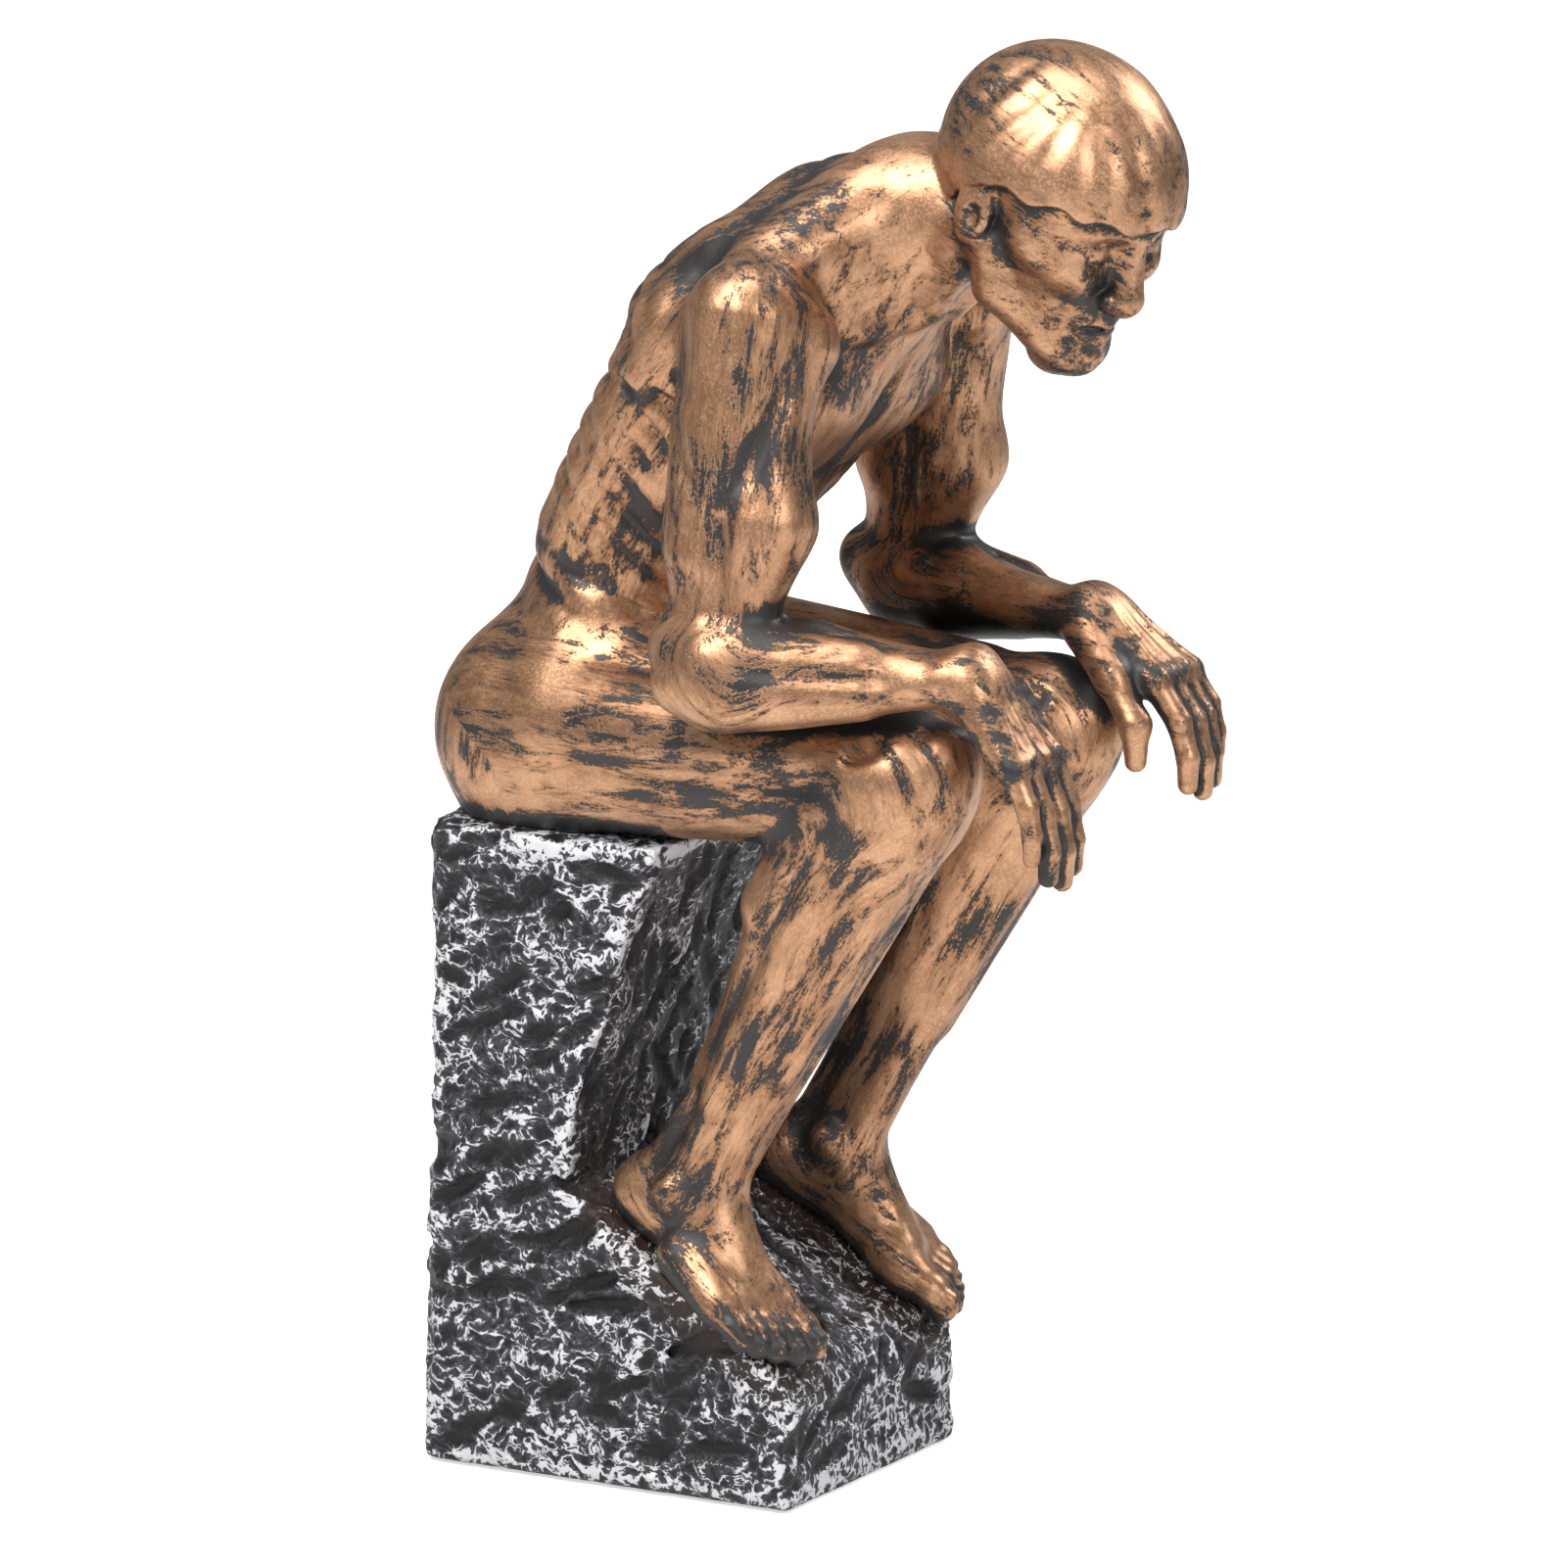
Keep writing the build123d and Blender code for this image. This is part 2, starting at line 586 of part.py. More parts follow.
# Legs
def foot_form(side, bone):
    """A foot on the ledge: a lofted body from heel to ball, and five toes."""
    toward = bone["toward"]
    across = ledge_normal.cross(toward) * side
    sole = bone["heel"] - ledge_normal * SOLE_SINK
    with BuildPart() as form:
        for along, wide_share, high_share in FOOT_SHARES:
            high = ANKLE_RISE * high_share / 2
            origin = sole + toward * (FOOT_LENGTH * along) + ledge_normal * high
            with BuildSketch(Plane(origin=origin, x_dir=across, z_dir=toward)):
                Ellipse(FOOT_WIDTH * wide_share, high)
        loft()
    ball = sole + toward * (FOOT_LENGTH * TOE_ROOT_SHARE)
    toes = []
    for place, size, reach in zip(TOE_PLACE_SHARES, TOE_SIZE_SHARES, TOE_REACH_SHARES):
        radius = TOE_RADIUS * size
        root = ball + across * (FOOT_WIDTH / 2 * place) + ledge_normal * (radius + TOE_RADIUS / 2)
        tip = ball + across * (FOOT_WIDTH / 2 * place) + toward * (TOE_LENGTH * reach)
        toes.append(rod(root, tip + ledge_normal * radius, radius, radius * TOE_TIP_SHARE))
    ledge = Plane(origin=bone["heel"], z_dir=ledge_normal)
    with BuildPart() as foot:
        add([form.part, *toes])
        split(bisect_by=ledge, keep=Keep.TOP)
    return foot.part


def leg_form(name, side, bone):
    """Thigh, knee, shank and foot in one casting, cut where it sits on the rock."""
    hip, knee, ankle = bone["hip"], bone["knee"], bone["ankle"]
    shank = ankle - knee
    behind = Vector(0, -shank.Z, shank.Y).normalized()
    across = Vector(1, 0, 0)
    thigh_form = limb(hip, knee, THIGH_SHARES, THIGH_RADIUS, across, behind)
    calf_form = limb(knee, ankle, CALF_SHARES, CALF_RADIUS, across, behind)
    knee_width = KNEE_RADIUS * KNEECAP_WIDTH_SHARE
    kneecap = ellipsoid(Plane(origin=knee), knee_width, KNEE_RADIUS, KNEE_RADIUS)
    ankle_form = ellipsoid(Plane(origin=ankle), ANKLE_RADIUS, ANKLE_RADIUS, ANKLE_RADIUS)
    other_side = Plane(origin=(side * LEG_GAP / 2, 0, 0), z_dir=(side, 0, 0))
    with BuildPart() as form:
        add(thigh_form)
        split(bisect_by=other_side, keep=Keep.TOP)
        add(seat_cut.part, mode=Mode.SUBTRACT)
        add([calf_form, kneecap, ankle_form, foot_form(side, bone)])
        add(pin_holes[name + "_hip_pin"], mode=Mode.SUBTRACT)
        add(pin_holes[name + "_foot_pin"], mode=Mode.SUBTRACT)
    return form


right_leg = leg_form("right", SIDES["right"], bones["right"])
left_leg = leg_form("left", SIDES["left"], bones["left"])


# Arms
def hand_form(name, side, bone):
    """A relaxed hand over the knee: a lofted palm, four fingers and a thumb."""
    _, _, palm_drop, finger_drop = ARM_POSES[name]
    palm_axis = drop(side, palm_drop, PALM_INWARD_SHARE)
    across = Vector(0, 0, 1).cross(palm_axis).normalized()
    half_palm = PALM_WIDTH / 2
    with BuildPart() as palm:
        for along, wide_share, deep_share in PALM_SHARES:
            origin = bone["wrist"] + palm_axis * (PALM_LENGTH * along)
            with BuildSketch(Plane(origin=origin, x_dir=across, z_dir=palm_axis)):
                Ellipse(half_palm * wide_share, PALM_THICKNESS / 2 * deep_share)
        loft()
    parts = [palm.part]
    knuckles = bone["wrist"] + palm_axis * PALM_LENGTH
    tip_radius = FINGER_RADIUS * FINGERTIP_SHARE
    for place, reach in zip(FINGER_PLACE_SHARES, FINGER_LENGTH_SHARES):
        bone_length = FINGER_LENGTH * reach / 2
        root = knuckles + across * (half_palm * place)
        bend = root + drop(side, finger_drop, 0) * bone_length
        tip = bend + drop(side, FINGERTIP_DROP, 0) * bone_length
        parts.append(rod(root, bend, FINGER_RADIUS * FINGER_ROOT_SHARE, FINGER_RADIUS))
        parts.append(rod(bend, tip, FINGER_RADIUS, tip_radius))
    inner = across * (-side if across.X > 0 else side)
    along, aside = THUMB_ROOT_SHARES
    bone_length = FINGER_LENGTH * THUMB_LENGTH_SHARE
    radii = [FINGER_RADIUS * share for share in THUMB_RADIUS_SHARES]
    root = bone["wrist"] + palm_axis * (PALM_LENGTH * along) + inner * (half_palm * aside)
    bend = root + (palm_axis + inner * THUMB_SPLAY_SHARE).normalized() * bone_length
    tip = bend + drop(side, finger_drop, THUMB_INWARD_SHARE) * bone_length
    parts.append(rod(root, bend, radii[0], radii[1]))
    parts.append(rod(bend, tip, radii[1], radii[2]))
    return parts


def arm_form(name, side, bone, leg):
    """Deltoid, upper arm, forearm and hand in one casting, bedded on the thigh."""
    shoulder, elbow, wrist = bone["shoulder"], bone["elbow"], bone["wrist"]
    none = Vector(0, 0, 0)
    deltoid_height = DELTOID_RADIUS * DELTOID_HEIGHT_SHARE
    deltoid = ellipsoid(Plane(origin=shoulder), DELTOID_RADIUS, DELTOID_RADIUS, deltoid_height)
    upper = limb(shoulder, elbow, UPPER_ARM_SHARES, UPPER_ARM_RADIUS, Vector(1, 0, 0), none)
    fore = limb(elbow, wrist, FOREARM_SHARES, FOREARM_RADIUS, Vector(1, 0, 0), none)
    elbow_form = ellipsoid(Plane(origin=elbow), ELBOW_RADIUS, ELBOW_RADIUS, ELBOW_RADIUS)
    joint_face = Plane(origin=(side * SHOULDER_JOINT, 0, 0), z_dir=(side, 0, 0))
    with BuildPart() as form:
        add([deltoid, upper])
        split(bisect_by=joint_face, keep=Keep.TOP)
        add([elbow_form, fore, *hand_form(name, side, bone)])
        add(leg, mode=Mode.SUBTRACT)
        add(pin_holes[name + "_shoulder_pin"], mode=Mode.SUBTRACT)
    return form


right_arm = arm_form("right", SIDES["right"], bones["right"], right_leg.part)
left_arm = arm_form("left", SIDES["left"], bones["left"], left_leg.part)

# Head with its neck
head_place = collar + neck_axis * NECK_LENGTH + Vector(0, -HEAD_FORWARD, -HEAD_DROP)
head_x = Vector(1, 0, 0).rotate(Axis.Z, -HEAD_TURN)
head_up = Vector(0, -sin(radians(HEAD_BOW)), cos(radians(HEAD_BOW))).rotate(Axis.Z, -HEAD_TURN)
head_plane = Plane(origin=head_place, x_dir=head_x, z_dir=head_up)
half_head = HEAD_HEIGHT / 2


def at_head(x_share, y_share, z_share):
    """A point of the head, by half its width, its depth and half its height."""
    return head_plane.from_local_coords(
        Vector(HEAD_WIDTH / 2 * x_share, HEAD_DEPTH * y_share, half_head * z_share)
    )


with BuildPart() as face:
    for height, half_width, half_depth, forward in FACE_SHARES:
        section = Plane(origin=at_head(0, -forward, height), x_dir=head_x, z_dir=head_up)
        with BuildSketch(section):
            Ellipse(HEAD_DEPTH * half_width, HEAD_DEPTH * half_depth)
    loft()

skull_plane = Plane(origin=at_head(*SKULL_SHARES), x_dir=head_x, z_dir=head_up)
skull_height = half_head * SKULL_HEIGHT_SHARE
skull = ellipsoid(skull_plane, HEAD_WIDTH / 2, HEAD_DEPTH / 2, skull_height)
hair_edge = Plane(origin=at_head(*HAIR_EDGE_SHARES), x_dir=head_x, z_dir=head_up)
with BuildPart() as hair:
    add(
        ellipsoid(
            skull_plane,
            HEAD_WIDTH / 2 + HAIR_THICKNESS,
            HEAD_DEPTH / 2 + HAIR_THICKNESS,
            skull_height + HAIR_THICKNESS,
        )
    )
    split(bisect_by=hair_edge.rotated((HAIR_TILT, 0, 0)), keep=Keep.TOP)
bridge_radius, tip_radius = [HEAD_WIDTH * share for share in NOSE_RADIUS_SHARES]
nose = rod(at_head(*NOSE_BRIDGE_SHARES), at_head(*NOSE_TIP_SHARES), bridge_radius, tip_radius)
ear_out, ear_back, ear_up = EAR_SHARES
ear_thick, ear_deep, ear_high = EAR_SIZE_SHARES
ears = [
    ellipsoid(
        Plane(origin=at_head(side * ear_out, ear_back, ear_up), x_dir=head_x, z_dir=head_up),
        HEAD_WIDTH * ear_thick,
        HEAD_DEPTH * ear_deep,
        half_head * ear_high,
    )
    for side in SIDES.values()
]
neck = limb(
    collar,
    collar + neck_axis * NECK_LENGTH,
    NECK_SHARES,
    NECK_RADIUS,
    Vector(1, 0, 0),
    Vector(0, 0, 0),
)
with BuildPart() as head:
    add([skull, hair.part, face.part, nose, neck, *ears])
    add(pin_holes["neck_pin"], mode=Mode.SUBTRACT)

# Torso, cut to seat on the rock and to take the other castings
glute_place, _ = back_curve(GLUTE_PLACE_SHARE)
glutes = [
    ellipsoid(
        Plane(origin=(side * HIP_SPREAD, glute_place.Y, glute_place.Z)),
        *[GLUTE_RADIUS * share for share in GLUTE_SHARES],
    )
    for side in SIDES.values()
]


def at_torso(side, along, out_share, forward_share):
    """A plane on the torso, by its curve, the shoulder width and the chest depth."""
    place, up = back_curve(along)
    forward = Vector(0, -up.Z, up.Y)
    origin = place + forward * (CHEST_DEPTH * forward_share)
    origin += Vector(side * SHOULDER_WIDTH * out_share, 0, 0)
    return Plane(origin=origin, x_dir=(1, 0, 0), z_dir=up)


muscles = []
for side in SIDES.values():
    for ends in TORSO_MUSCLE_SHARES:
        start, end = [at_torso(side, *places).origin for *places, _ in ends]
        start_radius, end_radius = [CHEST_DEPTH * radius_share for *_, radius_share in ends]
        muscles.append(belly(start, end, start_radius, end_radius))
    for places, (wide_share, high_share, deep_share) in TORSO_PLATE_SHARES:
        halves = (SHOULDER_WIDTH * wide_share, CHEST_DEPTH * deep_share, CHEST_DEPTH * high_share)
        muscles.append(ellipsoid(at_torso(side, *places), *halves))

with BuildPart() as torso:
    for along, wide_share, deep_share, forward_share in TORSO_SHARES:
        with BuildSketch(at_torso(1, along, 0, forward_share)):
            Ellipse(SHOULDER_WIDTH * wide_share, CHEST_DEPTH * deep_share)
    loft()
    add([*glutes, *muscles])
    split(bisect_by=Plane.XY.offset(SEAT_HEIGHT), keep=Keep.TOP)
    castings = [right_leg.part, left_leg.part, right_arm.part, left_arm.part, head.part]
    add(castings, mode=Mode.SUBTRACT)
    add([pin_holes[name] for name in joint_pins], mode=Mode.SUBTRACT)
    add(stud_hole.part, mode=Mode.SUBTRACT)

# Every piece in its own file
pieces = {
    "rock_base": rock_base.part,
    "ballast_block": ballast_block.part,
    "base_plate": base_plate.part,
    "felt_sheet": felt_sheet.part,
    "seat_stud": seat_stud.part,
    "seat_washer": seat_washer.part,
    "seat_nut": seat_nut.part,
    "torso": torso.part,
    "head": head.part,
    "right_arm": right_arm.part,
    "left_arm": left_arm.part,
    "right_leg": right_leg.part,
    "left_leg": left_leg.part,
    **pin_forms,
}
for name, piece in pieces.items():
    piece.label = name
    export_step(piece, "parts/" + name + ".step")
    print(name, len(piece.solids()), round(piece.volume))
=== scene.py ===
"""Looks of a cast seated figure, bronze paint brushed over black, on a rough-hewn rock.

The visible castings are sculpted as distance fields in millimetres and meshed here.
The figure faces -Y, its right side is at -X, and +Z is up.
"""

import math

import bpy
import numpy as np
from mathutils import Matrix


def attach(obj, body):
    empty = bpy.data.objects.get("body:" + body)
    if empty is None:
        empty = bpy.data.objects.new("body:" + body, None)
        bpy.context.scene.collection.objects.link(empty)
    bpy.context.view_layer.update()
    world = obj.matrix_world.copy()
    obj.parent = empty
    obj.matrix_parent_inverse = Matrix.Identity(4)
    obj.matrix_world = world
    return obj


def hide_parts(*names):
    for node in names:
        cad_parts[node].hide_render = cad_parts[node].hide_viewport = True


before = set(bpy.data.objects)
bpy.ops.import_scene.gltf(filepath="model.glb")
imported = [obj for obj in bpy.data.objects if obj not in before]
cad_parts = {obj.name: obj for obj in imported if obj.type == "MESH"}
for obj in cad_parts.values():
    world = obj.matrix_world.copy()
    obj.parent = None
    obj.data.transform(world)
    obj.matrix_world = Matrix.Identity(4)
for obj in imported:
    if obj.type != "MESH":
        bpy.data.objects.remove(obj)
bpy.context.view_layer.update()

MM = 0.001  # metres in a millimetre

# How forms are measured, in millimetres
FAR = 1000.0  # distance outside every form
BAND = 6.0  # how far from its surface a form is still measured
BLOCK = 3000  # points measured at once
REACH_SHARE = 2.6  # of a line's width
FADE_SHARE = 0.4  # of a line's length at each end
ROUND = 2.0  # power of a plain oval

# Mesh fineness of each kind of casting, in millimetres
VOXELS = {"torso": 0.8, "leg": 0.75, "arm": 0.65, "head": 0.45, "rock": 0.66}

# Rock, as in the solid model
ROCK_LENGTH = 86.0
ROCK_WIDTH = 72.0
SEAT_HEIGHT = 128.0
SEAT_DEPTH = 58.0
SEAT_UNDERCUT = 22.0
STRATUM_HEIGHT = 58.0
STRATUM_STEP = 3.5
LEDGE_BACK_HEIGHT = 59.0
LEDGE_FRONT_HEIGHT = 29.0
NOSE_SETBACK = 5.0
NOSE_DROP = 7.0
ROCK_WALL = 7.0
ROCK_FOOT = 0.5  # height of the rock's rim over the floor
PLATE_TOP = 4.2
PLATE_REBATE = 2.5

# Joints of the left side, mirrored for the right
HIP = (17.0, 20.0, 148.0)
KNEE = (28.5, -64.0, 145.0)
HEEL = (23.0, 2.0, 55.67)
FOOT_STAGGER = (-3.0, -2.0)  # forward and down the ledge, on the left only
FOOT_LENGTH = 51.0
ANKLE_SETBACK = 12.5
ANKLE_RISE = 15.0
TOE_OUT = 9.0  # degrees
SHOULDER = (38.0, -36.92, 229.29)
ELBOWS = {"right": (49.96, -35.44, 165.84), "left": (48.12, -22.0, 166.32)}
WRISTS = {"right": (33.87, -82.0, 166.54), "left": (33.87, -72.0, 166.54)}
PALM_LENGTH = 19.5
PALM_DROPS = {"right": 52.0, "left": 34.0}  # degrees
LEG_GAP = 0.6

# Torso axis, a circular arc
HIP_BACK = 20.0
TORSO_LENGTH = 140.0
PELVIS_LEAN = 6.0  # degrees
COLLAR_LEAN = 56.0

# Head
HEAD_MIDDLE = (0.0, -79.88, 253.46)
HEAD_BOW = 26.0  # degrees
HEAD_TURN = 12.0

SIDES = {"right": -1, "left": 1}


# Vectors
def vec(*values):
    return np.array(values, dtype=np.float64)


def unit(v):
    return v / np.linalg.norm(v)


def mirrored(point, side):
    """A point of the left side, or its mirror image on the right."""
    return vec(side * point[0], point[1], point[2])


def components(x, y, z, origin, axes):
    """How far places lie from an origin along each of some directions."""
    px, py, pz = x - origin[0], y - origin[1], z - origin[2]
    return [px * a[0] + py * a[1] + pz * a[2] for a in axes]


class Bone:
    """A straight run between two joints, with outward and frontal directions."""

    def __init__(self, start, end, front, side):
        self.start = start
        self.axis = end - start
        self.length = np.linalg.norm(self.axis)
        along = unit(self.axis)
        self.front = unit(front - along * front.dot(along))
        self.out = np.cross(self.front, along)
        if self.out[0] * side < 0:
            self.out = -self.out

    def at(self, along, out, front):
        return self.start + self.axis * along + self.out * out + self.front * front

    def back(self, x, y, z):
        """Share along, out and front of any points."""
        along, out, front = components(x, y, z, self.start, (unit(self.axis), self.out, self.front))
        return along / self.length, out, front


class Arc:
    """The torso's curved axis: places by share of its length, out and front."""

    def __init__(self):
        self.length = TORSO_LENGTH
        self.low = math.radians(PELVIS_LEAN)
        self.sweep = math.radians(COLLAR_LEAN - PELVIS_LEAN)
        self.radius = self.length / self.sweep
        self.y = HIP_BACK - self.radius * math.cos(self.low)
        self.z = SEAT_HEIGHT - self.radius * math.sin(self.low)

    def at(self, along, out, front):
        angle = self.low + self.sweep * along
        reach = self.radius - front
        return vec(out, self.y + reach * math.cos(angle), self.z + reach * math.sin(angle))

    def directions(self, along):
        """The frontal and upward directions at a share of the length."""
        angle = self.low + self.sweep * along
        return vec(0, -math.cos(angle), -math.sin(angle)), vec(0, -math.sin(angle), math.cos(angle))

    def back(self, x, y, z):
        """Share along, out and front of any points."""
        angle = np.arctan2(z - self.z, y - self.y)
        reach = np.sqrt((y - self.y) ** 2 + (z - self.z) ** 2)
        return (angle - self.low) / self.sweep, x, self.radius - reach


# Shapes, each with a box and a distance
def smooth_rows(rows, along):
    """Columns of a table of sections, smoothly interpolated along it."""
    table = np.array(rows)
    places = table[:, 0]
    clipped = np.clip(along, places[0], places[-1])
    index = np.clip(np.searchsorted(places, clipped) - 1, 0, len(places) - 2)
    span = places[index + 1] - places[index]
    share = (clipped - places[index]) / span
    slopes = np.gradient(table[:, 1:], places, axis=0)
    columns = []
    for column in range(table.shape[1] - 1):
        low, high = table[index, column + 1], table[index + 1, column + 1]
        low_slope = slopes[index, column] * span
        high_slope = slopes[index + 1, column] * span
        s2, s3 = share**2, share**3
        columns.append(
            low * (2 * s3 - 3 * s2 + 1)
            + low_slope * (s3 - 2 * s2 + share)
            + high * (3 * s2 - 2 * s3)
            + high_slope * (s3 - s2)
        )
    return columns


def oval(u, v, w, half_u, half_v, half_w, power):
    """Near distance of a rounded oval form."""
    k0 = (
        np.abs(u / half_u) ** power + np.abs(v / half_v) ** power + np.abs(w / half_w) ** power
    ) ** (1 / power)
    k1 = np.sqrt((u / half_u**2) ** 2 + (v / half_v**2) ** 2 + (w / half_w**2) ** 2)
    least = np.minimum(np.minimum(half_u, half_v), half_w)
    return np.where(k1 > 0, k0 * (k0 - 1) / np.maximum(k1, 1 / FAR), -least)


class Sections:
    """Oval sections along a bone or an arc: (along, half width, half depth, front)."""

    def __init__(self, axis, rows, power=ROUND):
        self.axis, self.rows, self.power = axis, rows, power
        ends = np.array([axis.at(r[0], 0, r[3]) for r in rows])
        reach = max(max(r[1], r[2]) for r in rows)
        self.low, self.high = ends.min(0) - reach, ends.max(0) + reach

    def distance(self, x, y, z):
        along, u, v = self.axis.back(x, y, z)
        wide, deep, front = smooth_rows(self.rows, along)
        w = (along - np.clip(along, self.rows[0][0], self.rows[-1][0])) * self.axis.length
        return oval(u, v - front, w, wide, deep, np.minimum(wide, deep), self.power)


class Rod:
    """A tapered rod with round ends, flattened along a direction if one is given."""

    def __init__(self, start, end, start_radius, end_radius, flat=None, flat_share=1.0):
        self.start, self.axis = start, end - start
        self.radii = (start_radius, end_radius)
        self.flat, self.flat_share = flat, flat_share
        reach = max(start_radius, end_radius)
        self.low = np.minimum(start, end) - reach
        self.high = np.maximum(start, end) + reach

    def distance(self, x, y, z):
        a, b = self.start, self.axis
        px, py, pz = x - a[0], y - a[1], z - a[2]
        along = np.clip((px * b[0] + py * b[1] + pz * b[2]) / b.dot(b), 0, 1)
        qx, qy, qz = px - b[0] * along, py - b[1] * along, pz - b[2] * along
        radius = self.radii[0] + (self.radii[1] - self.radii[0]) * along
        if self.flat is None:
            return np.sqrt(qx**2 + qy**2 + qz**2) - radius
        n = self.flat
        thick = qx * n[0] + qy * n[1] + qz * n[2]
        rest = qx**2 + qy**2 + qz**2 - thick**2
        squeezed = np.sqrt(np.maximum(rest, 0) + (thick / self.flat_share) ** 2)
        return (squeezed - radius) * self.flat_share


class Ball:
    """An oval ball with three half sizes along three directions."""

    def __init__(self, middle, axes, halves):
        self.middle, self.axes, self.halves = middle, axes, halves
        reach = np.sqrt(sum((np.asarray(a) * h) ** 2 for a, h in zip(axes, halves)))
        self.low, self.high = middle - reach, middle + reach

    def distance(self, x, y, z):
        return oval(*components(x, y, z, self.middle, self.axes), *self.halves, ROUND)


class Line:
    """A path of points. Its distance is to the nearest run, and it fades at both ends."""

    def __init__(self, path):
        self.path = np.array(path)
        self.low, self.high = self.path.min(0), self.path.max(0)

    def distance(self, x, y, z):
        best, place = None, None
        runs = len(self.path) - 1
        for index in range(runs):
            a, b = self.path[index], self.path[index + 1] - self.path[index]
            px, py, pz = x - a[0], y - a[1], z - a[2]
            along = np.clip((px * b[0] + py * b[1] + pz * b[2]) / b.dot(b), 0, 1)
            gap = (px - b[0] * along) ** 2 + (py - b[1] * along) ** 2 + (pz - b[2] * along) ** 2
            spot = (index + along) / runs
            if best is None:
                best, place = gap, spot
            else:
                place = np.where(gap < best, spot, place)
                best = np.minimum(gap, best)
        return np.sqrt(best), place


def smooth_min(a, b, blend):
    overlap = np.maximum(blend - np.abs(a - b), 0)
    return np.minimum(a, b) - overlap**2 / (4 * blend)


def rounded_max(a, b, bevel):
    return -smooth_min(-a, -b, bevel)


def window(axes, shape, room):
    """The part of a grid within reach of a shape, and the places there."""
    spans = tuple(
        slice(*np.searchsorted(a, (low - room, high + room)))
        for a, low, high in zip(axes, shape.low, shape.high)
    )
    return spans, np.ix_(*(a[span] for a, span in zip(axes, spans)))


class Form:
    """A sculpted form: strokes that add, carve, raise or groove, one after another."""

    def __init__(self):
        self.strokes = []

    def add(self, shape, blend):
        self.strokes.append(("add", shape, blend, 0))

    def carve(self, shape, blend):
        self.strokes.append(("carve", shape, blend, 0))

    def line(self, path, width, height):
        """A soft ridge along a path, or a groove where the height is negative."""
        self.strokes.append(("line", Line(path), width, height))

    def box(self, room):
        shapes = [s[1] for s in self.strokes if s[0] == "add"]
        low = np.min([s.low for s in shapes], axis=0) - room
        high = np.max([s.high for s in shapes], axis=0) + room
        return low, high

    @staticmethod
    def stroke(kind, shape, soft, height, value, x, y, z):
        if kind == "add":
            return smooth_min(value, shape.distance(x, y, z), soft)
        if kind == "carve":
            return -smooth_min(-value, shape.distance(x, y, z), soft)
        gap, place = shape.distance(x, y, z)
        fade = np.clip(np.minimum(place, 1 - place) / FADE_SHARE, 0, 1)
        return value - height * fade * (2 - fade) * np.exp(-((gap / soft) ** 2))

    def on_grid(self, axes):
        """Values on a grid of x, y and z places. Each stroke works in its own window."""
        value = np.full([len(a) for a in axes], FAR)
        for kind, shape, soft, height in self.strokes:
            room = REACH_SHARE * soft if kind == "line" else soft + BAND
            spans, places = window(axes, shape, room)
            if value[spans].size > 0:
                value[spans] = self.stroke(kind, shape, soft, height, value[spans], *places)
        return value

    def at(self, points):
        """Values at single points, worked out block by block."""
        if len(points) > BLOCK:
            value = np.empty(len(points))
            order = np.argsort(points[:, np.argmax(np.ptp(points, axis=0))])
            for half in np.array_split(order, 2):
                value[half] = self.at(points[half])
            return value
        value = np.full(len(points), FAR)
        if len(points) == 0:
            return value
        low, high = points.min(0), points.max(0)
        for kind, shape, soft, height in self.strokes:
            room = REACH_SHARE * soft if kind == "line" else soft + BAND
            if np.any(low > shape.high + room) or np.any(high < shape.low - room):
                continue
            near = np.all((points > shape.low - room) & (points < shape.high + room), axis=1)
            if near.any():
                x, y, z = points[near].T
                value[near] = self.stroke(kind, shape, soft, height, value[near], x, y, z)
        return value


# Meshing
LEAST_BIT = 100  # points of the smallest bit of a surface that stays
CORNERS = [(i, j, k) for i in (0, 1) for j in (0, 1) for k in (0, 1)]
EDGES = [
    (a, b)
    for a in range(8)
    for b in range(a + 1, 8)
    if sum(abs(p - q) for p, q in zip(CORNERS[a], CORNERS[b])) == 1
]


def surface(value, axes):
    """Points and square faces of the surface where the value passes zero."""
    step = [a[1] - a[0] for a in axes]
    start = [a[0] for a in axes]
    cells = [n - 1 for n in value.shape]
    inside = value < 0
    count = np.zeros(cells, dtype=np.int8)
    for i, j, k in CORNERS:
        count += inside[i : i + cells[0], j : j + cells[1], k : k + cells[2]]
    crossed = (count > 0) & (count < 8)
    places = np.argwhere(crossed)
    number = np.full(cells, -1, dtype=np.int64)
    number[crossed] = np.arange(len(places))
    corner_values = np.stack(
        [value[places[:, 0] + i, places[:, 1] + j, places[:, 2] + k] for i, j, k in CORNERS], 1
    )
    total = np.zeros((len(places), 3))
    hits = np.zeros(len(places))
    for a, b in EDGES:
        va, vb = corner_values[:, a], corner_values[:, b]
        cut = (va < 0) != (vb < 0)
        share = np.where(cut, va / np.where(cut, va - vb, 1), 0)
        pa, pb = np.array(CORNERS[a]), np.array(CORNERS[b])
        total += np.where(cut[:, None], pa + (pb - pa) * share[:, None], 0)
        hits += cut
    points = (places + total / hits[:, None]) * step + start
    faces = []
    for axis in range(3):
        one, two = (axis + 1) % 3, (axis + 2) % 3
        low = [slice(1, -1)] * 3
        high = [slice(1, -1)] * 3
        low[axis], high[axis] = slice(0, -1), slice(1, None)
        below, above = inside[tuple(low)], inside[tuple(high)]
        for first, flip in ((below & ~above, False), (~below & above, True)):
            spots = np.argwhere(first)
            spots[:, one] += 1
            spots[:, two] += 1
            ring = []
            for d_one, d_two in ((-1, -1), (0, -1), (0, 0), (-1, 0)):
                cell = spots.copy()
                cell[:, one] += d_one
                cell[:, two] += d_two
                ring.append(number[cell[:, 0], cell[:, 1], cell[:, 2]])
            quad = np.stack(ring, 1)
            faces.append(quad[:, ::-1] if flip else quad)
    return points, np.concatenate(faces)


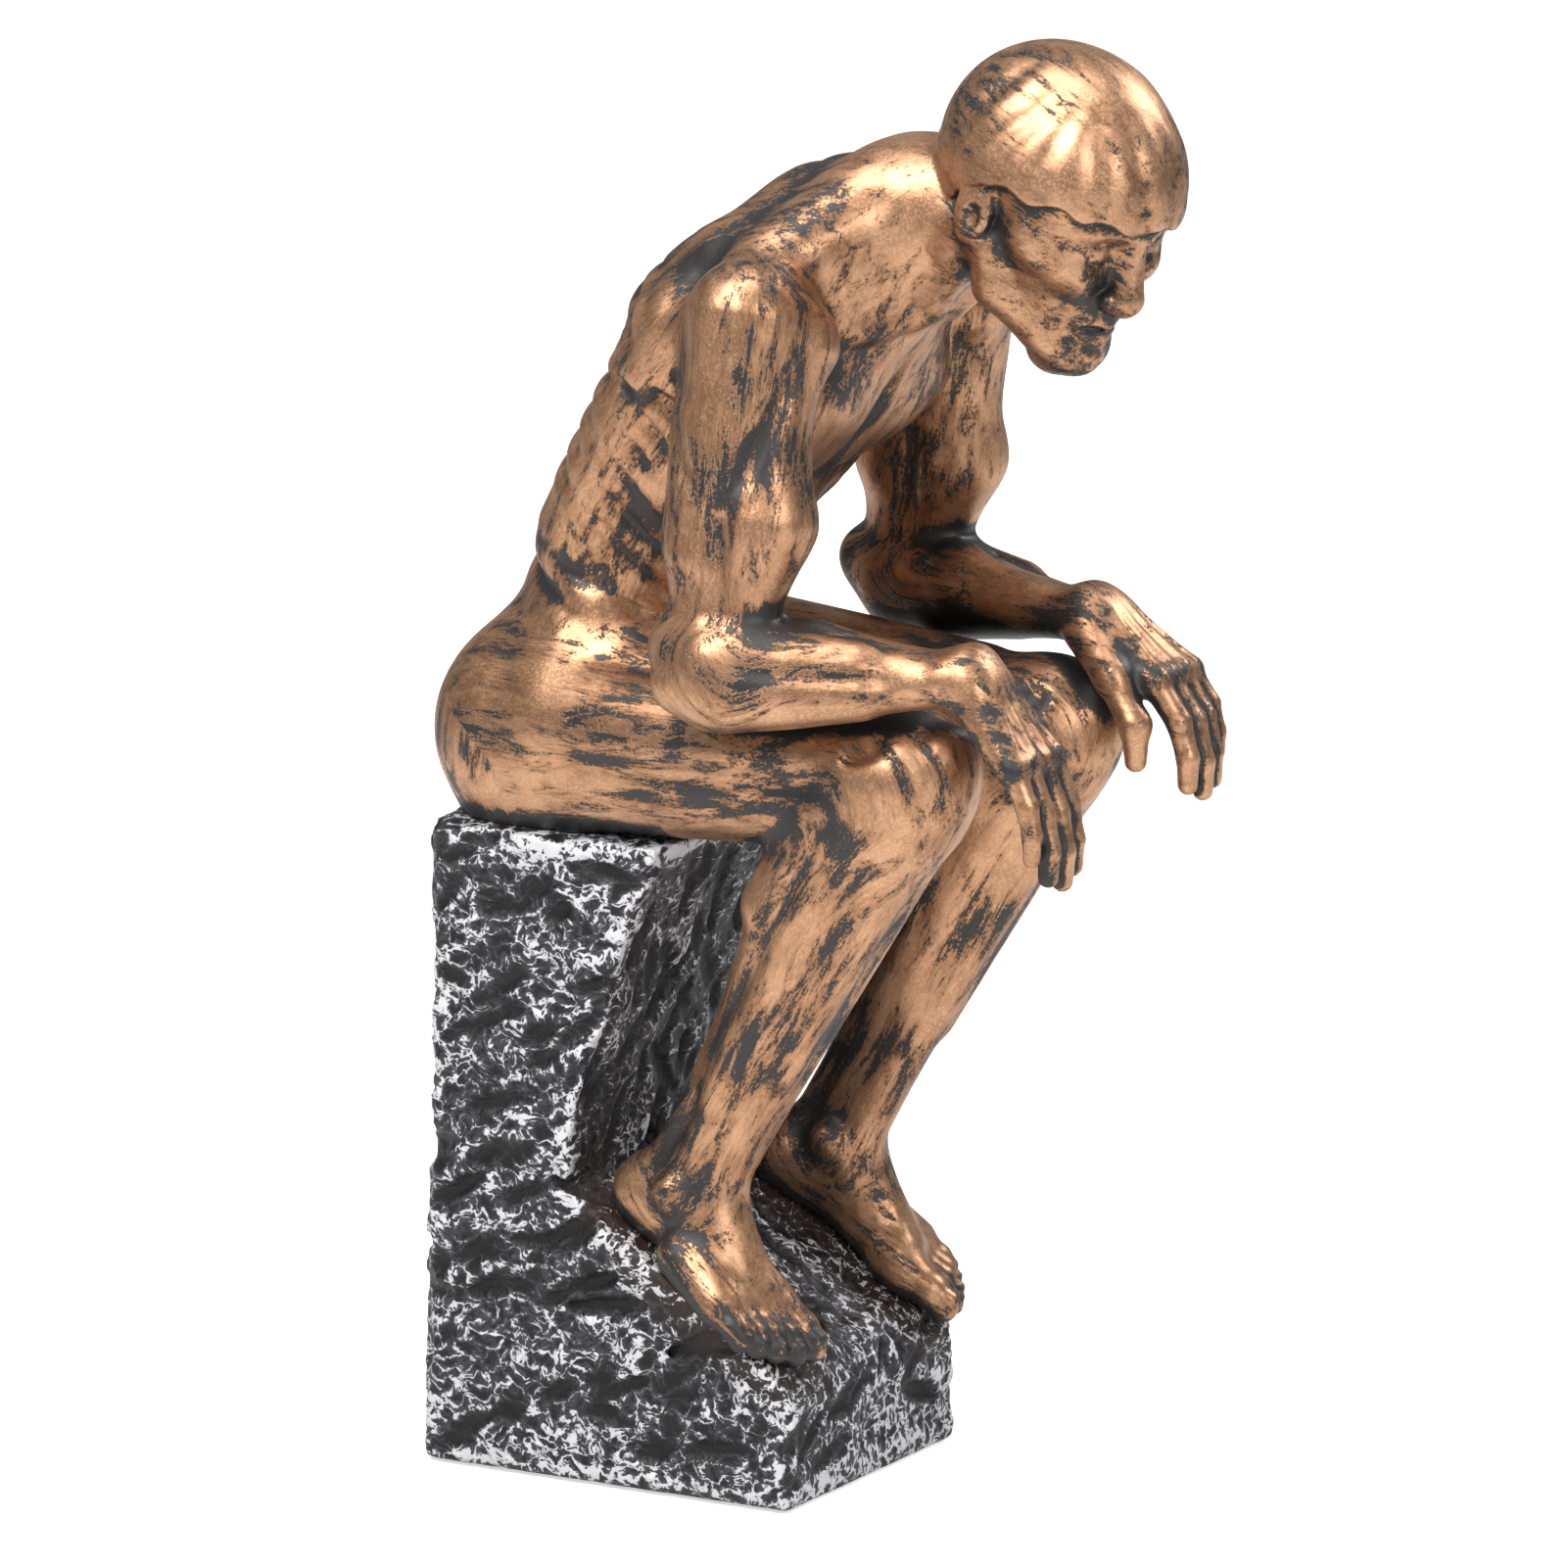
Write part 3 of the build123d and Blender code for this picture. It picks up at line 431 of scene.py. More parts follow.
def whole(points, faces):
    """A surface without the specks that close joints leave inside."""
    label, before = np.arange(len(points)), None
    while before is None or np.any(label != before):
        before, label = label, label.copy()
        low = before[faces].min(axis=1)
        for corner in faces.T:
            np.minimum.at(label, corner, low)
        label = label[label]
    kept = np.bincount(label, minlength=len(points))[label] >= LEAST_BIT
    number = np.cumsum(kept) - 1
    return points[kept], number[faces[kept[faces[:, 0]]]]


def grid(low, high, step):
    return [np.arange(a, b + step, step) for a, b in zip(low, high)]


def slopes(measure, points, reach):
    """The direction in which a measured value grows, at points."""
    result = np.zeros_like(points)
    for axis in range(3):
        shift = np.zeros(3)
        shift[axis] = reach
        result[:, axis] = measure(points + shift) - measure(points - shift)
    return result / (2 * reach)


# Anatomy tables. Places are (share along the bone, out, front), sizes in millimetres.
# Sections are (share along, half width, half depth, front).
# Muscles are (start place, end place, start radius, end radius).
# Skin lines are (width, height, spots), and a spot is (share along, degrees from outward to front).
TORSO_ROWS = [
    (-0.04, 30.0, 21.0, 0.0),
    (0.14, 31.0, 21.5, 0.0),
    (0.32, 25.5, 17.5, 0.5),
    (0.52, 28.0, 19.5, 1.0),
    (0.72, 32.5, 21.5, 1.0),
    (0.88, 29.0, 19.0, 0.0),
    (0.99, 19.0, 15.5, -1.0),
    (1.06, 13.5, 12.0, -1.0),
]
TORSO_SQUARENESS = 2.3
TORSO_MUSCLES = [
    ((0.10, 15.0, -6.0), (0.12, 17.0, 3.0), 20.0, 18.0),  # hip
    ((0.24, 8.5, -11.5), (0.62, 9.5, -14.5), 7.5, 7.5),  # beside the spine
    ((0.62, 9.5, -14.5), (0.90, 8.0, -14.5), 7.5, 5.5),
    ((0.40, 19.0, -7.0), (0.76, 29.5, -8.0), 9.5, 10.5),  # broad back muscle
    ((1.02, 5.0, -7.0), (0.90, 30.0, -5.0), 10.5, 8.5),  # neck to shoulder
    ((0.92, 6.0, -13.0), (0.84, 24.0, -13.0), 9.0, 7.5),  # above the shoulder blade
    ((0.22, 22.0, 1.0), (0.31, 21.5, 3.0), 7.5, 6.5),  # flank
    ((0.58, 21.5, 6.5), (0.70, 24.5, 5.5), 10.0, 9.0),  # side of the chest
]
SCAPULA = (0.755, 20.0, -17.0)
SCAPULA_HALVES = (9.5, 15.0, 6.5)
PECTORAL = (0.745, 15.5, 15.5)
PECTORAL_HALVES = (17.0, 13.5, 8.0)
RIB_COUNT = 7
RIB_START_SHARE = 0.425  # along the torso, at its side
RIB_STEP_SHARE = 0.046
RIB_PATH = [(0.062, -46), (0.035, -24), (0.0, 0), (-0.05, 32), (-0.095, 62)]  # offset, degrees
RIB_RIDGE = (2.5, 1.0)  # width, height
RIB_GROOVE = (1.7, -0.7)
TORSO_LINES = [
    (2.6, -1.7, [(0.20, -90), (0.40, -90), (0.60, -90), (0.80, -90), (0.98, -90)]),  # spine
    (1.9, -0.7, [(0.275, -50), (0.265, -25), (0.255, 0), (0.25, 40), (0.255, 75)]),
    (1.8, -0.6, [(0.335, -46), (0.322, -23), (0.312, 0), (0.305, 40), (0.31, 75)]),
    (1.7, -0.5, [(0.385, -40), (0.375, -20), (0.362, 0), (0.355, 35), (0.36, 70)]),
    (3.2, 1.1, [(0.305, -70), (0.294, -35), (0.284, 0), (0.278, 40), (0.28, 75)]),
    (3.0, 0.9, [(0.36, -65), (0.35, -30), (0.338, 0), (0.33, 40), (0.335, 75)]),
    (2.0, -1.3, [(0.655, -66), (0.70, -52), (0.76, -44), (0.83, -42)]),
    (2.2, -1.2, [(0.66, -72), (0.74, -78), (0.84, -78), (0.90, -72)]),
    (1.8, -1.2, [(0.62, -40), (0.64, -18), (0.68, 2), (0.73, 14)]),
    (1.6, -1.2, [(0.56, 90), (0.66, 90), (0.78, 90), (0.92, 90)]),  # breastbone
    (1.5, -1.0, [(0.22, 90), (0.34, 90), (0.46, 90), (0.56, 90)]),  # middle of the belly
    (1.5, -0.9, [(0.40, 66), (0.405, 78), (0.405, 90)]),
    (1.5, -0.9, [(0.48, 62), (0.49, 76), (0.49, 90)]),
    (1.7, -0.9, [(0.66, 40), (0.635, 58), (0.635, 76), (0.65, 88)]),  # below the chest
    (2.2, 1.5, [(0.985, 78), (0.955, 60), (0.93, 42), (0.91, 26)]),  # collarbone
    (1.8, -1.0, [(0.945, 74), (0.915, 56), (0.89, 40), (0.87, 26)]),
]
THIGH_ROWS = [
    (-0.02, 18.5, 19.0, 0.0),
    (0.24, 18.6, 19.2, 0.0),
    (0.50, 16.4, 17.2, 0.0),
    (0.76, 13.6, 14.6, 0.0),
    (0.92, 12.2, 13.2, 0.0),
    (1.00, 12.2, 12.8, 0.0),
]
THIGH_MUSCLES = [
    ((0.10, 1.0, 9.0), (0.82, 0.5, 8.0), 11.0, 6.0),  # front
    ((0.14, 9.5, 2.5), (0.62, 9.5, 3.0), 11.0, 9.0),  # outer side
    ((0.62, 9.5, 3.0), (0.88, 7.0, 4.0), 9.0, 6.0),
    ((0.52, -6.5, 3.0), (0.88, -7.5, 3.5), 9.0, 8.0),  # above the knee, inside
    ((0.04, -4.0, -3.0), (0.55, -5.0, -4.0), 13.0, 9.0),  # inner side
    ((0.10, 6.0, -8.5), (0.96, 7.5, -7.0), 11.0, 4.6),  # back, outside
    ((0.16, -4.0, -8.5), (0.96, -7.0, -7.0), 10.5, 4.6),  # back, inside
]
THIGH_LINES = [
    (2.4, -1.5, [(0.18, 50), (0.40, 54), (0.62, 58), (0.84, 62)]),
    (2.6, -1.6, [(0.20, -12), (0.42, -10), (0.64, -6), (0.90, 0)]),
    (2.2, -1.2, [(0.26, 122), (0.48, 120), (0.70, 116), (0.86, 112)]),
    (2.4, -1.3, [(0.30, -90), (0.60, -90), (0.95, -92)]),
]
CALF_ROWS = [
    (0.00, 12.0, 12.6, 0.0),
    (0.13, 11.2, 12.4, -1.0),
    (0.30, 11.8, 13.0, -2.6),
    (0.52, 9.8, 10.6, -1.8),
    (0.76, 7.2, 7.8, -0.4),
    (1.00, 6.7, 7.6, 0.0),
]
CALF_MUSCLES = [
    ((0.06, -5.0, -5.5), (0.40, -4.8, -9.6), 7.5, 7.4),  # inner calf
    ((0.06, 5.0, -5.5), (0.36, 5.2, -9.2), 7.0, 7.0),  # outer calf
    ((0.34, 0.0, -6.5), (0.76, 0.0, -5.0), 8.5, 4.6),
    ((0.06, -0.5, 8.5), (0.95, -2.5, 4.6), 5.0, 3.4),  # shin
    ((0.10, 4.8, 6.0), (0.66, 2.2, 5.0), 6.0, 3.4),
    ((0.14, 7.4, -1.0), (0.80, 5.0, -1.6), 5.0, 2.8),  # outer side
    ((0.70, 0.0, -6.0), (1.06, 0.0, -8.0), 3.6, 3.4),  # heel cord
]
CALF_LINES = [
    (1.8, -1.2, [(0.16, 34), (0.36, 36), (0.60, 38), (0.86, 40)]),
    (1.9, -1.3, [(0.18, -22), (0.34, -26), (0.50, -34), (0.64, -44)]),
    (1.6, -1.0, [(0.12, 78), (0.40, 84), (0.70, 92), (0.90, 98)]),
    (1.8, -1.2, [(0.24, -90), (0.36, -90), (0.46, -90)]),
    (1.7, -1.1, [(0.20, 196), (0.36, 204), (0.52, 214), (0.66, 224)]),
    (1.8, -1.2, [(0.78, -50), (0.88, -52), (0.98, -54)]),
    (1.8, -1.2, [(0.78, 230), (0.88, 232), (0.98, 234)]),
]
KNEE_LINES = [
    (2.2, -1.4, [(0.93, 22), (0.99, 30), (1.04, 44)]),
    (2.2, -1.4, [(0.93, 158), (0.99, 150), (1.04, 136)]),
]
UPPER_ARM_ROWS = [
    (0.00, 10.8, 11.2, 0.0),
    (0.28, 10.2, 11.2, 0.0),
    (0.46, 8.8, 9.8, 0.0),
    (0.64, 8.9, 10.2, 0.0),
    (0.88, 7.5, 8.2, 0.0),
    (1.00, 7.9, 8.4, 0.0),
]
UPPER_ARM_MUSCLES = [
    ((0.24, -1.0, 4.5), (0.54, -0.5, 6.8), 8.0, 9.0),  # front
    ((0.54, -0.5, 6.8), (0.90, 0.0, 4.0), 9.0, 5.0),
    ((0.18, -1.5, -5.0), (0.60, -1.0, -6.2), 9.2, 8.0),  # back
    ((0.28, 4.2, -4.0), (0.64, 3.8, -4.8), 7.4, 5.4),
    ((0.62, 0.5, -5.5), (0.98, 0.0, -4.4), 5.8, 5.0),  # above the elbow
]
DELTOID_HEADS = [
    ((0.02, -3.0, 6.0), (0.44, 5.5, 3.5), 9.6, 3.8),  # front of the shoulder
    ((-0.04, 3.5, 0.0), (0.47, 7.0, 0.5), 11.4, 3.8),
    ((0.02, -2.0, -5.5), (0.44, 5.0, -3.0), 9.6, 3.8),  # back of the shoulder
]
UPPER_ARM_LINES = [
    (2.1, -1.7, [(0.06, 70), (0.22, 56), (0.38, 36), (0.50, 14)]),
    (2.1, -1.6, [(0.06, -70), (0.22, -56), (0.38, -34), (0.50, -8)]),
    (2.1, -1.6, [(0.44, 12), (0.60, 16), (0.76, 20), (0.94, 26)]),
    (1.6, -1.0, [(0.44, -60), (0.58, -62), (0.74, -70)]),
    (1.7, -1.1, [(0.40, 172), (0.60, 170), (0.82, 166)]),
]
FOREARM_ROWS = [
    (0.00, 8.6, 8.8, 0.0),
    (0.22, 9.6, 9.2, 0.0),
    (0.52, 7.8, 7.3, 0.0),
    (0.84, 6.3, 5.2, 0.0),
    (1.00, 6.5, 4.9, 0.0),
]
FOREARM_MUSCLES = [
    ((-0.14, -3.0, 5.0), (0.38, -4.2, 3.6), 6.4, 5.8),
    ((0.38, -4.2, 3.6), (0.86, -3.6, 0.8), 5.8, 3.2),
    ((0.02, 4.2, 4.0), (0.54, 2.6, 3.2), 6.2, 4.2),
    ((0.06, 4.8, -2.5), (0.56, 4.2, -2.0), 6.6, 4.4),
]
FOREARM_LINES = [
    (1.5, -1.0, [(0.06, 96), (0.26, 92), (0.48, 88), (0.72, 84)]),
    (1.5, -1.0, [(0.10, 18), (0.32, 14), (0.54, 12), (0.78, 10)]),
]
ELBOW_FORM = ((-0.13, 1.2, -1.4), (0.0, 1.2, -2.4), 5.4, 6.8)
WRIST_KNOB = ((0.91, 4.2, 1.0), (0.96, 4.2, 1.0), 2.4, 2.2)
MUSCLE_BLEND = 4.0
BODY_BLEND = 5.5
KNOB_BLEND = 2.8


# Skeleton
LEDGE_RUN = 45.0
LEDGE_FALL = LEDGE_BACK_HEIGHT - LEDGE_FRONT_HEIGHT
LEDGE_COSINE = LEDGE_RUN / math.hypot(LEDGE_RUN, LEDGE_FALL)


def skeleton(name):
    """Bones of one side by name."""
    side = SIDES[name]
    across = vec(side, 0, 0)
    forward, up = vec(0, -1, 0), vec(0, 0, 1)
    down_slope, slope_up = -unit(vec(0, LEDGE_RUN, LEDGE_FALL)), unit(vec(0, -LEDGE_FALL, LEDGE_RUN))
    turn = math.radians(TOE_OUT)
    toward = down_slope * math.cos(turn) + across * math.sin(turn)
    heel = mirrored(HEEL, side)
    if side > 0:
        heel = heel + vec(0, *FOOT_STAGGER)
    ankle = heel + toward * ANKLE_SETBACK + slope_up * ANKLE_RISE
    hip, knee = mirrored(HIP, side), mirrored(KNEE, side)
    shoulder, elbow = mirrored(SHOULDER, side), mirrored(ELBOWS[name], side)
    wrist = mirrored(WRISTS[name], side)
    drop = math.radians(PALM_DROPS[name])
    knuckles = wrist + vec(0, -math.cos(drop), -math.sin(drop)) * PALM_LENGTH
    return {
        "thigh": Bone(hip, knee, up, side),
        "calf": Bone(knee, ankle, forward, side),
        "foot": Bone(heel, heel + toward * FOOT_LENGTH, slope_up, side),
        "upper_arm": Bone(shoulder, elbow, forward, side),
        "forearm": Bone(elbow, wrist, up, side),
        "palm": Bone(wrist, knuckles, up, side),
    }


def add_rods(form, place, rows, blend):
    for start, end, start_radius, end_radius in rows:
        form.add(Rod(place(*start), place(*end), start_radius, end_radius), blend)


SKIN_REACH = 50.0
SKIN_STEP = 0.25


def skin_path(form, place, spots):
    """Where rays from an axis leave a form, for a list of (share along, degrees)."""
    path = []
    for along, degrees in spots:
        start = place(along, 0, 0)
        way = place(along, math.cos(math.radians(degrees)), math.sin(math.radians(degrees))) - start
        ray = start + np.outer(np.arange(0, SKIN_REACH, SKIN_STEP), way)
        path.append(ray[np.argmax(form.at(ray) > 0)])
    return path


def add_lines(form, place, rows):
    for width, height, spots in rows:
        form.line(skin_path(form, place, spots), width, height)


# Legs
KNEE_HALVES = (12.0, 13.0, 13.0)
PATELLA = (10.8, 4.5)  # ahead of the knee and above it
PATELLA_HALVES = (7.2, 4.8, 7.6)
FOOT_ROWS = [
    (0.10, 6.0, 7.2, 6.5),
    (0.34, 7.2, 8.6, 8.2),
    (0.56, 8.6, 6.2, 5.4),
    (0.72, 9.6, 4.2, 3.6),
    (0.80, 9.2, 3.0, 2.6),
]
FOOT_FORMS = [
    ((0.11, 0.0, 5.6), (0.20, 0.0, 6.0), 6.6, 6.4),
    ((0.30, -0.8, 15.0), (0.66, -2.0, 5.5), 6.6, 4.4),
    ((0.70, -6.4, 4.6), (0.76, -6.6, 4.2), 4.8, 4.4),
    ((0.42, 6.4, 3.6), (0.68, 7.6, 3.4), 4.0, 3.8),
]
MALLEOLI = [
    ((0.98, -6.8, 0.5), (0.985, -6.8, 1.5), 3.4, 3.4),
    ((1.015, 6.8, -1.0), (1.02, 6.8, 0.0), 3.4, 3.4),
]
# Tendons over the instep, from the ankle to each toe's root: (place across, height)
TENDON_ROOT = (0.30, -0.5, 20.5)
TENDON_ENDS = [(0.74, -6.2, 8.0), (0.72, -1.8, 7.2), (0.70, 2.2, 6.6), (0.66, 5.8, 6.0)]
TENDON = (1.1, 0.7)  # width, height
# Toes from the great toe out: place across, radius, root along, middle along, tip along
TOES = [
    (-7.4, 3.7, 0.74, 0.88, 0.955),
    (-2.5, 2.8, 0.73, 0.88, 0.965),
    (1.7, 2.65, 0.72, 0.865, 0.935),
    (5.3, 2.5, 0.70, 0.835, 0.895),
    (8.4, 2.45, 0.68, 0.795, 0.85),
]
TOE_SINK = 0.4
TOE_ROOT_RISE = 1.0
TOE_ARCH = 1.3
TOE_TAPER_SHARE = 0.92
TOE_BLEND = 1.3
NAIL_SHARES = (0.62, 0.30, 0.62)  # half width, thickness and half length by the toe's radius
NAIL_RISE_SHARE = 0.82
NAIL_BLEND = 0.25


def leg_form(bones):
    thigh, calf, foot = bones["thigh"], bones["calf"], bones["foot"]
    form = Form()
    form.add(Sections(thigh, THIGH_ROWS), BODY_BLEND)
    add_rods(form, thigh.at, THIGH_MUSCLES, BODY_BLEND)
    add_lines(form, thigh.at, THIGH_LINES)
    form.add(Sections(calf, CALF_ROWS), BODY_BLEND)
    add_rods(form, calf.at, CALF_MUSCLES, MUSCLE_BLEND)
    add_lines(form, calf.at, CALF_LINES)
    knee = calf.start
    axes = (thigh.out, unit(thigh.axis), thigh.front)
    form.add(Ball(knee, axes, KNEE_HALVES), BODY_BLEND)
    ahead, above = PATELLA
    form.add(Ball(knee + axes[1] * ahead + axes[2] * above, axes, PATELLA_HALVES), KNOB_BLEND)
    add_lines(form, thigh.at, KNEE_LINES)
    form.add(Sections(foot, FOOT_ROWS), BODY_BLEND)
    add_rods(form, foot.at, FOOT_FORMS, MUSCLE_BLEND)
    add_rods(form, calf.at, MALLEOLI, KNOB_BLEND)
    for end in TENDON_ENDS:
        form.line([foot.at(*TENDON_ROOT), foot.at(*end)], *TENDON)
    for across, radius, root, middle, tip in TOES:
        low = radius - TOE_SINK
        thin = radius * TOE_TAPER_SHARE
        bend = foot.at(middle, across, low + TOE_ARCH)
        end = foot.at(tip, across, low)
        form.add(Rod(foot.at(root, across, low + TOE_ROOT_RISE), bend, radius, thin), TOE_BLEND)
        form.add(Rod(bend, end, thin, thin * TOE_TAPER_SHARE), TOE_BLEND)
        nail = end + foot.front * (radius * NAIL_RISE_SHARE)
        halves = [radius * share for share in NAIL_SHARES]
        form.add(Ball(nail, (foot.out, foot.front, unit(foot.axis)), halves), NAIL_BLEND)
    return form


# Arms and hands
PALM_SQUARENESS = 2.6
FINGER_DROPS = {"right": (66.0, 78.0, 92.0), "left": (54.0, 74.0, 90.0)}  # degrees, by finger bone
PALM_ROWS = [
    (-0.10, 6.6, 5.2, 0.0),
    (0.45, 8.8, 4.4, 0.0),
    (0.92, 9.4, 3.7, 0.0),
]
# Fingers from the index out: place across, length, radius
FINGERS = [(-7.2, 21.5, 2.75), (-2.4, 23.5, 2.85), (2.4, 22.0, 2.7), (6.9, 17.5, 2.4)]
FINGER_SPLIT_SHARES = (0.44, 0.32, 0.24)
FINGER_TAPER_SHARE = 0.9
KNUCKLE_SHARE = 1.16
KNUCKLE_RUN = (0.80, 0.94)  # along the palm
KNUCKLE_RISE = 0.8
KNUCKLE_BLEND = 1.8
FINGER_BLEND = 0.8
THUMB = [
    ((0.05, -5.0, -1.5), (0.62, -11.0, -2.5), 4.6, 3.7),
    ((0.62, -11.0, -2.5), (1.12, -13.0, -6.0), 3.3, 3.0),
    ((1.12, -13.0, -6.0), (1.32, -12.5, -12.0), 2.9, 2.2),
]
THUMB_BLEND = 1.8
HAND_TENDON = (1.0, 0.55)  # width, height


def arm_form(name):
    upper, fore, palm = [bones[name][kind] for kind in ("upper_arm", "forearm", "palm")]
    form = Form()
    form.add(Sections(upper, UPPER_ARM_ROWS), BODY_BLEND)
    add_rods(form, upper.at, UPPER_ARM_MUSCLES, MUSCLE_BLEND)
    add_rods(form, upper.at, DELTOID_HEADS, MUSCLE_BLEND)
    add_lines(form, upper.at, UPPER_ARM_LINES)
    form.add(Sections(fore, FOREARM_ROWS), BODY_BLEND)
    add_rods(form, fore.at, FOREARM_MUSCLES, MUSCLE_BLEND)
    add_lines(form, fore.at, FOREARM_LINES)
    add_rods(form, fore.at, [ELBOW_FORM, WRIST_KNOB], KNOB_BLEND)
    form.add(Sections(palm, PALM_ROWS, PALM_SQUARENESS), MUSCLE_BLEND)
    for across, length, size in FINGERS:
        start = palm.at(KNUCKLE_RUN[1], across, KNUCKLE_RISE)
        back = palm.at(KNUCKLE_RUN[0], across, KNUCKLE_RISE)
        form.add(Rod(back, start, size * FINGER_TAPER_SHARE, size * KNUCKLE_SHARE), KNUCKLE_BLEND)
        wrist_end = palm.at(0, across * FINGER_TAPER_SHARE / 2, PALM_ROWS[0][2])
        form.line([wrist_end, start + palm.front * size], *HAND_TENDON)
        for degrees, share in zip(FINGER_DROPS[name], FINGER_SPLIT_SHARES):
            angle = math.radians(degrees)
            end = start + vec(0, -math.cos(angle), -math.sin(angle)) * (length * share)
            form.add(Rod(start, end, size, size * FINGER_TAPER_SHARE), FINGER_BLEND)
            start, size = end, size * FINGER_TAPER_SHARE
    add_rods(form, palm.at, THUMB, THUMB_BLEND)
    return form


# Torso
def torso_form(arc):
    form = Form()
    form.add(Sections(arc, TORSO_ROWS, TORSO_SQUARENESS), BODY_BLEND)
    for side in SIDES.values():
        def place(along, out, front, side=side):
            return arc.at(along, side * out, front)

        add_rods(form, place, TORSO_MUSCLES, BODY_BLEND)
        for spot, halves in ((PECTORAL, PECTORAL_HALVES), (SCAPULA, SCAPULA_HALVES)):
            front, up = arc.directions(spot[0])
            form.add(Ball(place(*spot), (vec(1, 0, 0), up, front), halves), MUSCLE_BLEND)
        for rib in range(RIB_COUNT):
            for width_height, shift in ((RIB_RIDGE, 0), (RIB_GROOVE, RIB_STEP_SHARE / 2)):
                middle = RIB_START_SHARE + RIB_STEP_SHARE * rib + shift
                spots = [(middle + offset, degrees) for offset, degrees in RIB_PATH]
                form.line(skin_path(form, place, spots), *width_height)
        add_lines(form, place, TORSO_LINES)
    return form


# Head, in its own directions: right, back, up. Forms on both sides are given for the left.
CRANIUM = ((0.0, 1.6, 7.6), (18.4, 22.4, 18.4))
FACE_TOP, FACE_END = (0.0, -8.0, 12.0), (0.0, -8.0, -24.5)
FACE_ROWS = [
    (0.00, 16.6, 13.0, 0.0),
    (0.22, 16.6, 13.2, 0.3),
    (0.42, 15.8, 12.0, 0.6),
    (0.60, 14.2, 11.4, 0.9),
    (0.79, 11.8, 10.2, 1.6),
    (0.94, 8.2, 7.4, 4.2),
    (1.00, 6.2, 5.6, 5.4),
]
FACE_SQUARENESS = 2.2
NECK_ENDS = ((1.02, 0.0, -1.0), (0.0, 5.0, -5.0))  # on the torso's curve, and in the head
NECK_RADII = (13.6, 12.2)
# Neck muscles: place in the head, place on the torso's curve, radii
NECK_MUSCLES = [
    ((13.0, 6.5, -8.0), (0.985, 5.0, 14.0), 4.4, 3.2),
    ((8.0, 14.0, -6.0), (0.99, 8.0, -6.5), 6.4, 9.0),
]
# Face forms of both sides: start, end, start radius, end radius, blend
FACE_RODS = [
    ((14.0, -0.5, -9.0), (12.0, -3.5, -16.0), 4.0, 3.6, 4.0),
    ((12.0, -3.5, -16.0), (6.0, -15.5, -22.6), 3.6, 3.4, 4.0),
    ((9.5, -17.0, -4.8), (15.0, -9.0, -2.8), 3.3, 2.9, 4.5),
    ((2.2, -20.4, 4.4), (10.4, -18.4, 5.4), 2.3, 1.9, 2.6),
]
EYE_HOLLOW = ((7.3, -22.6, 0.6), (4.8, 3.2, 3.3), 2.8)
EYEBALL = ((7.1, -15.8, -0.4), (4.6, 4.3, 4.2), 0.8)
NOSE_RODS = [
    ((0.0, -18.4, -12.4), (4.4, -17.2, -13.0), 3.5, 3.0, 3.0),
    ((0.0, -19.6, 3.6), (0.0, -24.0, -7.8), 2.0, 2.4, 2.6),
    ((0.0, -24.0, -8.2), (0.0, -23.6, -9.0), 2.5, 2.5, 1.4),
    ((0.0, -21.4, -14.2), (5.2, -19.4, -15.6), 1.4, 0.9, 1.4),
    ((0.0, -20.8, -17.6), (3.4, -20.0, -17.4), 1.7, 1.3, 1.5),
    ((0.0, -18.0, -22.8), (2.4, -17.6, -22.6), 4.2, 3.8, 3.0),
]
NOSTRIL_WING = ((2.8, -22.0, -9.4), (1.8, 2.4, 1.8), 1.0)
NOSTRIL = ((1.6, -23.4, -11.2), (0.9, 1.4, 0.9), 0.5)
# Face lines: width, height, points on the left from the middle out
FACE_LINES = [
    (0.6, -0.6, [(3.6, -18.8, -1.4), (7.1, -20.2, -2.2), (10.8, -18.0, -1.2)]),
    (0.6, -0.4, [(3.8, -19.0, 1.6), (7.0, -20.0, 2.7), (11.0, -17.8, 1.4)]),
    (0.6, -0.5, [(-6.2, -19.0, -16.0), (-2.6, -21.6, -15.9), (2.6, -21.6, -15.9), (6.2, -19.0, -16.0)]),
    (1.4, -0.35, [(-3.6, -19.6, -20.2), (0.0, -20.0, -20.4), (3.6, -19.6, -20.2)]),
    (1.0, -0.4, [(4.2, -20.6, -10.4), (6.2, -19.4, -13.0), (7.2, -18.2, -16.2)]),
]
EAR = ((18.0, 3.2, -2.6), (2.2, 4.2, 7.0), 1.2)
EAR_CONCH = ((20.3, 2.2, -3.4), (1.5, 1.7, 3.0), 0.9)
EAR_RIM_PATH = [(19.0, -0.6, 1.0), (19.6, 1.6, 4.0), (19.8, 5.4, 3.0), (19.4, 6.6, -1.0), (18.8, 4.4, -6.6)]
EAR_RIM = (1.0, 0.5, EAR_RIM_PATH)
# Hair: a cap whose lower edge is a height for each place from front to back
HAIR = ((0.0, 0.3, 6.5), (21.0, 26.0, 23.0))
HAIR_EDGE = [
    (-26.0, 7.0),
    (-16.0, 7.4),
    (-8.0, 6.2),
    (0.0, 4.8),
    (6.0, 1.5),
    (10.0, -4.0),
    (17.0, -9.5),
    (26.0, -11.0),
]
HAIR_ROUND = 0.8
HAIR_BLEND = 0.4
LOCK_DEPTH = 0.7  # of the waves along the hair's edge
LOCK_PITCH = 14.0
STRAND_COUNT = 13
STRAND_TURNS = (-125.0, 125.0)  # degrees round the crown from the front
STRAND_RISES = (62.0, 40.0, 18.0, -2.0)  # degrees above the hair's middle, from crown to edge
STRAND = (2.2, -0.6)
STRAND_SWAY = 9.0  # degrees


